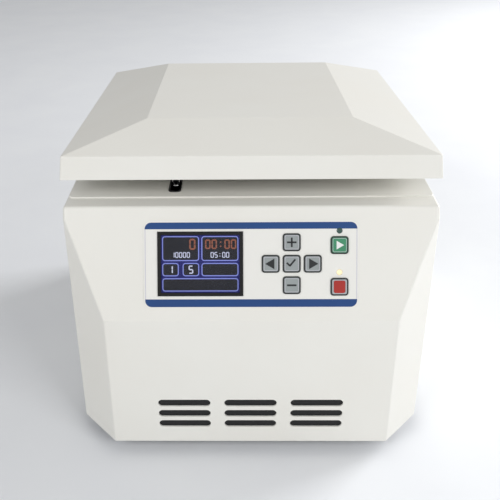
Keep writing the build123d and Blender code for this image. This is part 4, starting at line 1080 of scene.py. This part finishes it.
@dataclass
class Display:
    """The lit screen and its window. Sizes are millimetres on the panel.

    Attributes:
        panel: The panel that the screen is set into.
        across: The screen's middle, to the right of the panel's middle.
        up: Its middle, up the slope from the knee.
        width: Its length across the panel.
        height: Its length up the slope.
        ground: How far its face stands out of the panel.
        film: The thickness of its ground and its panes.
        pane_lift: From the screen's face to the foot of the panes and their lines.
        pane_corner: The radius of a pane's corners.
        line: The width of the line round a pane.
        line_height: The thickness of that line.
        figure_lift: From the screen's face to the foot of the figures.
        figure_film: The thickness of the figures.
        digit_line: The width of a segment, as a share of the figure's height.
        digit_pitch: The step from figure to figure, as a share of their height.
        glass: The thickness of the window, which is also how far out its foot lies.
        panes: The dark panes.
        white_rows: The figures in white.
        amber_rows: The figures in amber.
        segments: The segments that each figure lights, lettered as usual.
    """

    panel: PanelPlane
    across: float = -42.9
    up: float = 48.8
    width: float = 66.8
    height: float = 49.0
    ground: float = -0.4
    film: float = 0.06
    pane_lift: float = 0.08
    pane_corner: float = 2.4
    line: float = 0.8
    line_height: float = 0.1
    figure_lift: float = 0.17
    figure_film: float = 0.05
    digit_line: float = 0.17
    digit_pitch: float = 0.78
    glass: float = 0.3
    panes: tuple[Pane, ...] = (
        Pane(0.015, 0.485, 0.02, 0.45),
        Pane(0.515, 0.985, 0.02, 0.45),
        Pane(0.015, 0.225, 0.485, 0.715),
        Pane(0.275, 0.485, 0.485, 0.715),
        Pane(0.515, 0.985, 0.485, 0.715),
        Pane(0.015, 0.985, 0.75, 0.98),
    )
    white_rows: tuple[Row, ...] = (
        Row("10000", 4.2, 0.25, 0.345),
        Row("05:00", 4.2, 0.75, 0.345),
        Row("1", 6.0, 0.12, 0.6),
        Row("5", 6.0, 0.38, 0.6),
    )
    amber_rows: tuple[Row, ...] = (
        Row("0", 8.0, 0.40, 0.16),
        Row("00:00", 7.0, 0.76, 0.16),
    )
    segments: dict[str, str] = field(
        default_factory=lambda: {"0": "abcdef", "1": "bc", "5": "afgcd"}
    )

    def _place(self, share_across: float, share_down: float, out: float) -> Matrix:
        """Finds a place on the screen from its shares across and down."""
        across = self.across + (share_across - 0.5) * self.width
        up = self.up + (0.5 - share_down) * self.height
        return self.panel.place(across, up, out)

    def _figure(self, sign: str, height: float) -> bmesh.types.BMesh:
        """Makes one figure of straight segments.

        Args:
            sign: A digit or a colon.
            height: The figure's height.

        Returns:
            The figure, about its middle.
        """
        width, line = height * 0.5, height * self.digit_line
        spots = {
            "a": (0.0, height / 2, True),
            "g": (0.0, 0.0, True),
            "d": (0.0, -height / 2, True),
            "f": (-width / 2, height / 4, False),
            "b": (width / 2, height / 4, False),
            "e": (-width / 2, -height / 4, False),
            "c": (width / 2, -height / 4, False),
        }
        film = self.figure_film * MM
        carrier = Mould("figure")
        if sign == ":":
            for lift in (-height / 4, height / 4):
                dot = plate(line * MM, line * MM, film, line * 0.3 * MM)
                carrier.add(dot, Matrix.Translation((0.0, lift * MM, 0.0)))
            return carrier.shape
        for name in self.segments[sign]:
            across, lift, level = spots[name]
            length = (width if level else height / 2) - line * 0.3
            size = (length, line) if level else (line, length)
            bar = plate(size[0] * MM, size[1] * MM, film, line * 0.25 * MM)
            carrier.add(bar, Matrix.Translation((across * MM, lift * MM, 0.0)))
        return carrier.shape

    def _figures(self, name: str, rows: tuple[Row, ...], finish: Finish) -> None:
        """Sets rows of figures on the screen, each centred on its place.

        Args:
            name: The piece's name.
            rows: The rows.
            finish: What they are finished in.
        """
        mould = Mould(name)
        for row in rows:
            pitch = row.height * self.digit_pitch
            start = -(len(row.text) - 1) / 2 * pitch
            for step, sign in enumerate(row.text):
                across = row.across + (start + step * pitch) / self.width
                place = self._place(across, row.down, self.ground + self.figure_lift)
                mould.add(self._figure(sign, row.height), place)
        mould.piece(finish, "cabinet")

    def _panes(self) -> None:
        """Makes the dark panes and the lines round them."""
        darks, lines = Mould("screen_panes"), Mould("screen_lines")
        corner = self.pane_corner * MM
        for pane in self.panes:
            width = (pane.right - pane.left) * self.width * MM
            height = (pane.foot - pane.top) * self.height * MM
            place = self._place(
                (pane.left + pane.right) / 2,
                (pane.top + pane.foot) / 2,
                self.ground + self.pane_lift,
            )
            darks.add(plate(width, height, self.film * MM, corner), place)
            edge = ring(width, height, self.line_height * MM, corner, self.line * MM)
            lines.add(edge, place)
        darks.piece(SCREEN_DARK, "cabinet")
        lines.piece(SCREEN_LINE, "cabinet")

    def build(self) -> None:
        """Makes the screen's ground, its panes, their lines, the figures and the window."""
        width, height = self.width * MM, self.height * MM
        blue = plate(width, height, self.film * MM, 0.6 * MM)
        ground = Mould("screen_ground").add(blue, self._place(0.5, 0.5, self.ground))
        ground.piece(SCREEN_BLUE, "cabinet")
        self._panes()
        self._figures("screen_figures", self.white_rows, SCREEN_DIGIT)
        self._figures("screen_amber_figures", self.amber_rows, SCREEN_AMBER)
        pane = plate(width, height, self.glass * MM, 0.4 * MM)
        window = Mould("display_glass").add(pane, self._place(0.5, 0.5, self.glass))
        glass = window.piece(CLEAR, "cabinet", soft_edge=0.00006)
        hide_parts("display_window")


@dataclass
class Lamps:
    """The two indicator lamps: a domed lens on a round stem. Sizes are millimetres.

    Attributes:
        panel: The panel that the lamps stand in.
        radius: The stem's radius.
        foot: How far the stem's foot stands out of the panel, which is below 0.
        top: How far the lens stands out of it.
        dome: The width and depth of the rounding at the top.
    """

    panel: PanelPlane
    radius: float = 2.5
    foot: float = -10.0
    top: float = 1.1
    dome: float = 0.9

    def _lens(self) -> bmesh.types.BMesh:
        """Makes one lens: a stem with a flattened dome, from its top down."""
        shape = bmesh.new()
        depth = (self.top - self.foot) * MM
        radius = self.radius * MM
        bmesh.ops.create_cone(
            shape, cap_ends=True, segments=32, radius1=radius, radius2=radius, depth=depth
        )
        bmesh.ops.translate(shape, vec=(0.0, 0.0, -depth / 2), verts=shape.verts)
        rim = [edge for face in shape.faces if face.normal.z > 0.9 for edge in face.edges]
        bmesh.ops.bevel(
            shape,
            geom=rim,
            offset=self.dome * MM,
            offset_type="OFFSET",
            segments=6,
            profile=0.5,
            affect="EDGES",
            material=-1,
        )
        bmesh.ops.recalc_face_normals(shape, faces=shape.faces[:])
        return shape

    def build(self) -> None:
        """Makes the unlit start lamp and the lit stop lamp."""
        for name, up, finish in (
            ("lamp_start_lens", START_UP + LAMP_ABOVE_KEY, LAMP_DARK),
            ("lamp_stop_lens", STOP_UP + LAMP_ABOVE_KEY, LAMP_LIT),
        ):
            place = self.panel.place(COLUMN_ACROSS, up, self.top)
            made = Mould(name).add(self._lens(), place).piece(finish, "cabinet")
            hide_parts("indicator_lamps")


@dataclass
class FrontVents:
    """The dark dust mesh right behind the slots of the lower front. Sizes are metres."""

    front: float = FRONT_FACE
    sheet: float = 0.0015
    middle: float = 0.0472
    width: float = 0.19
    height: float = 0.040
    corner: float = 0.002
    thickness: float = 0.0008

    def build(self) -> None:
        """Makes the mesh sheet."""
        sheet = plate(self.width, self.height, self.thickness, self.corner)
        upright = Matrix.Translation((0.0, self.front + self.sheet + self.thickness, self.middle))
        place = upright @ Matrix.Rotation(math.radians(90.0), 4, "X")
        Mould("vent_dust_mesh").add(sheet, place).piece(MESH_BLACK, "cabinet")


@dataclass
class RotorFigures:
    """Plain numbers round the rotor's cover, one for each tube. Sizes are metres."""

    centre: Spot = (*CHAMBER_AXIS[:2], 0.1926)
    radius: float = 0.084
    size: float = 0.0075
    tubes: int = 24
    ink: float = 0.00008

    def build(self) -> None:
        """Makes the ring of numbers."""
        figures = Mould("rotor_figures")
        for step in range(self.tubes):
            turn = Matrix.Rotation(-math.tau * step / self.tubes, 4, "Z")
            place = Matrix.Translation(self.centre) @ turn
            place = place @ Matrix.Translation((0.0, self.radius, 0.0))
            figures.add(numeral(str(step + 1), self.size, self.ink), place)
        figures.piece(OUTLINE_INK, "rotor")


@dataclass
class MainsSwitchMarks:
    """The printed bar and ring on the mains switch's rocker. Sizes are millimetres.

    Attributes:
        axle: The rocker's axle, in metres.
        tilt: Degrees that the rocker leans at rest.
        waist: From the axle out to the middle of the rocker's face.
        proud: From the axle out to the face's ends.
        half: From the axle to an end of the face.
        gap: From the face to the foot of the marks.
        ink: The thickness of the marks.
        bar: The bar's width, height and corner radius.
        ring: The ring's width, corner radius and line.
    """

    axle: Spot = (-0.092, 0.1879, 0.114)
    tilt: float = 8.0
    waist: float = 2.6
    proud: float = 4.6
    half: float = 10.6
    gap: float = 0.01
    ink: float = 0.06
    bar: tuple[float, float, float] = (0.9, 4.6, 0.3)
    ring: tuple[float, float, float] = (4.4, 2.15, 0.7)

    def _place(self, side: float) -> Matrix:
        """Finds the middle of the rocker's upper (1) or lower (-1) face."""
        slope = math.atan2(self.proud - self.waist, self.half)
        out = (self.waist + self.proud) / 2 + self.gap
        local = Matrix.Translation((0.0, out * MM, side * self.half / 2 * MM))
        facing = Matrix.Rotation(math.radians(-90.0), 4, "X") @ Matrix.Rotation(math.pi, 4, "Z")
        leaning = Matrix.Rotation(-side * slope, 4, "X")
        rocked = Matrix.Rotation(math.radians(self.tilt), 4, "X")
        return Matrix.Translation(self.axle) @ rocked @ local @ leaning @ facing

    def build(self) -> None:
        """Makes the two marks."""
        marks = Mould("rocker_marks")
        ink = self.ink * MM
        width, height, corner = (length * MM for length in self.bar)
        marks.add(plate(width, height, ink, corner), self._place(1.0))
        width, corner, line = (length * MM for length in self.ring)
        marks.add(ring(width, width, ink, corner, line), self._place(-1.0))
        marks.piece(WHITE_INK, "rocker")


@dataclass
class RatingPlate:
    """The bare rating plate on the rear panel. Sizes are metres.

    Attributes:
        middle: The middle of its back.
        width: Its length along X.
        height: Its length along Z.
        thickness: How far its face stands out of the panel.
        corner: The radius of its corners.
        rivet_foot: A rivet head's radius on the plate.
        rivet_top: Its radius at its top.
        rivet_height: How far it stands out of the plate.
        rivet_inset: From a rivet's middle to the plate's edges.
    """

    middle: Spot = (-0.02, 0.1894, 0.062)
    width: float = 0.062
    height: float = 0.036
    thickness: float = 0.0005
    corner: float = 0.002
    rivet_foot: float = 0.0014
    rivet_top: float = 0.0009
    rivet_height: float = 0.0006
    rivet_inset: float = 0.003

    def _rivet(self) -> bmesh.types.BMesh:
        """Makes a rivet head, about its middle."""
        shape = bmesh.new()
        bmesh.ops.create_cone(
            shape,
            cap_ends=True,
            segments=20,
            radius1=self.rivet_foot,
            radius2=self.rivet_top,
            depth=self.rivet_height,
        )
        return shape

    def build(self) -> None:
        """Makes the plate and its four rivets."""
        facing = Matrix.Rotation(math.radians(-90.0), 4, "X")
        place = Matrix.Translation(self.middle) @ facing
        sheet = Mould("rating_plate")
        sheet.add(plate(self.width, self.height, self.thickness, self.corner), place)
        across = self.width / 2 - self.rivet_inset
        lift = self.height / 2 - self.rivet_inset
        out = self.thickness + self.rivet_height / 2
        for x, y in ((-across, -lift), (-across, lift), (across, -lift), (across, lift)):
            sheet.add(self._rivet(), place @ Matrix.Translation((x, y, out)))
        sheet.piece(STAINLESS, "cabinet", soft_edge=0.00012)


@dataclass(frozen=True)
class SoftLamp:
    """A square lamp: its name, where it hangs, the length of its sides and its watts."""

    name: str
    spot: Spot
    size: float
    power: float


@dataclass
class Studio:
    """The pale floor, the soft lamps and the camera at the photograph's angle.

    Attributes:
        eye: Where the camera stands.
        yaw: How far it turns to the right of straight at the rear, in radians.
        pitch: How far it looks down, in radians.
        roll: How far it leans, in radians.
        lens: Its focal length in millimetres.
        sensor: The width of its sensor in millimetres.
        shift_across: How far its frame lies off its axis, as a share of the frame's width.
        shift_up: The same upwards.
        floor_reach: Half the floor's width.
        sky: The strength of the white light from all round.
        lamps: The lamps.
        aim: What they face.
    """

    eye: Spot = (-0.01034, -0.75489, 0.50889)
    yaw: float = -0.02026
    pitch: float = 0.49376
    roll: float = -0.01278
    lens: float = 55.884
    sensor: float = 36.0
    shift_across: float = 0.0505
    shift_up: float = 0.01295
    floor_reach: float = 12.0
    sky: float = 0.45
    lamps: tuple[SoftLamp, ...] = (
        SoftLamp("right_lamp", (1.25, -1.6, 1.25), 0.9, 16.0),
        SoftLamp("left_lamp", (-1.25, -1.6, 1.25), 0.9, 14.0),
        SoftLamp("side_lamp", (2.1, 1.25, 0.95), 1.2, 66.0),
    )
    aim: Spot = (0.0, 0.0, 0.15)

    def _camera(self) -> None:
        """Sets up the camera."""
        forward = Vector(
            (
                math.sin(self.yaw) * math.cos(self.pitch),
                math.cos(self.yaw) * math.cos(self.pitch),
                -math.sin(self.pitch),
            )
        )
        level = Vector((math.cos(self.yaw), -math.sin(self.yaw), 0.0))
        above = level.cross(forward)
        right = level * math.cos(self.roll) + above * math.sin(self.roll)
        upward = above * math.cos(self.roll) - level * math.sin(self.roll)
        data = bpy.data.cameras.new("camera")
        data.lens = self.lens
        data.sensor_width = self.sensor
        data.sensor_fit = "HORIZONTAL"
        data.shift_x = self.shift_across
        data.shift_y = self.shift_up
        data.clip_end = 60.0
        camera = bpy.data.objects.new("camera", data)
        place = Matrix((right, upward, -forward)).transposed().to_4x4()
        place.translation = self.eye
        camera.matrix_world = place
        bpy.context.collection.objects.link(camera)
        bpy.context.scene.camera = camera

    def _lamp(self, lamp: SoftLamp) -> None:
        """Adds a lamp that faces the instrument.

        Args:
            lamp: The lamp's measures.
        """
        data = bpy.data.lights.new(lamp.name, "AREA")
        data.shape = "SQUARE"
        data.size = lamp.size
        data.energy = lamp.power
        made = bpy.data.objects.new(lamp.name, data)
        sight = Vector(self.aim) - Vector(lamp.spot)
        facing = sight.to_track_quat("-Z", "Y").to_matrix().to_4x4()
        made.matrix_world = Matrix.Translation(lamp.spot) @ facing
        bpy.context.collection.objects.link(made)

    def _floor(self) -> None:
        """Adds the pale floor."""
        shape = bmesh.new()
        bmesh.ops.create_grid(shape, x_segments=4, y_segments=4, size=self.floor_reach)
        mesh = bpy.data.meshes.new("floor")
        shape.to_mesh(mesh)
        shape.free()
        mesh.materials.append(FLOOR_PAPER.material())
        floor = bpy.data.objects.new("floor", mesh)
        bpy.context.collection.objects.link(floor)

    def _sky(self) -> None:
        """Lights the scene from all round with a plain soft white."""
        world = bpy.data.worlds.new("studio_white")
        world.use_nodes = True
        glow = world.node_tree.nodes["Background"]
        glow.inputs["Color"].default_value = (1.0, 1.0, 1.0, 1.0)
        glow.inputs["Strength"].default_value = self.sky
        bpy.context.scene.world = world

    def build(self) -> None:
        """Sets up the floor, the lamps and the camera."""
        self._floor()
        self._sky()
        for lamp in self.lamps:
            self._lamp(lamp)
        self._camera()
        bpy.context.scene.view_settings.view_transform = "Standard"


class Nodes:
    """The carried-over nodes, dressed in their finishes."""

    def __init__(self, frame: dict) -> None:
        """Keeps the loaded frame.
        """
        self.nodes = frame["nodes"]

    def dress(self) -> None:
        """Gives each node its finish."""
        for name, finish in NODE_FINISHES.items():
            node = self.nodes[name]
            if not node.material_slots:
                node.data.materials.append(finish.material())
            for slot in node.material_slots:
                slot.material = finish.material()
            LOG.info("%s is finished in %s", name, finish.name)


def report_size() -> None:
    """Updates the view layer.
    """
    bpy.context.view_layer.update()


def main() -> None:
    """Builds the dressed centrifuge."""
    logging.basicConfig(level=logging.INFO, format="%(name)s: %(message)s")
    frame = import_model()
    report_size()
    Nodes(frame).dress()
    panel = PanelPlane()
    ControlLabel(panel).build()
    Keypad(panel).build()
    Display(panel).build()
    Lamps(panel).build()
    FrontVents().build()
    RotorFigures().build()
    MainsSwitchMarks().build()
    RatingPlate().build()
    Studio().build()
    report_size()


if __name__ == "__main__":
    main()
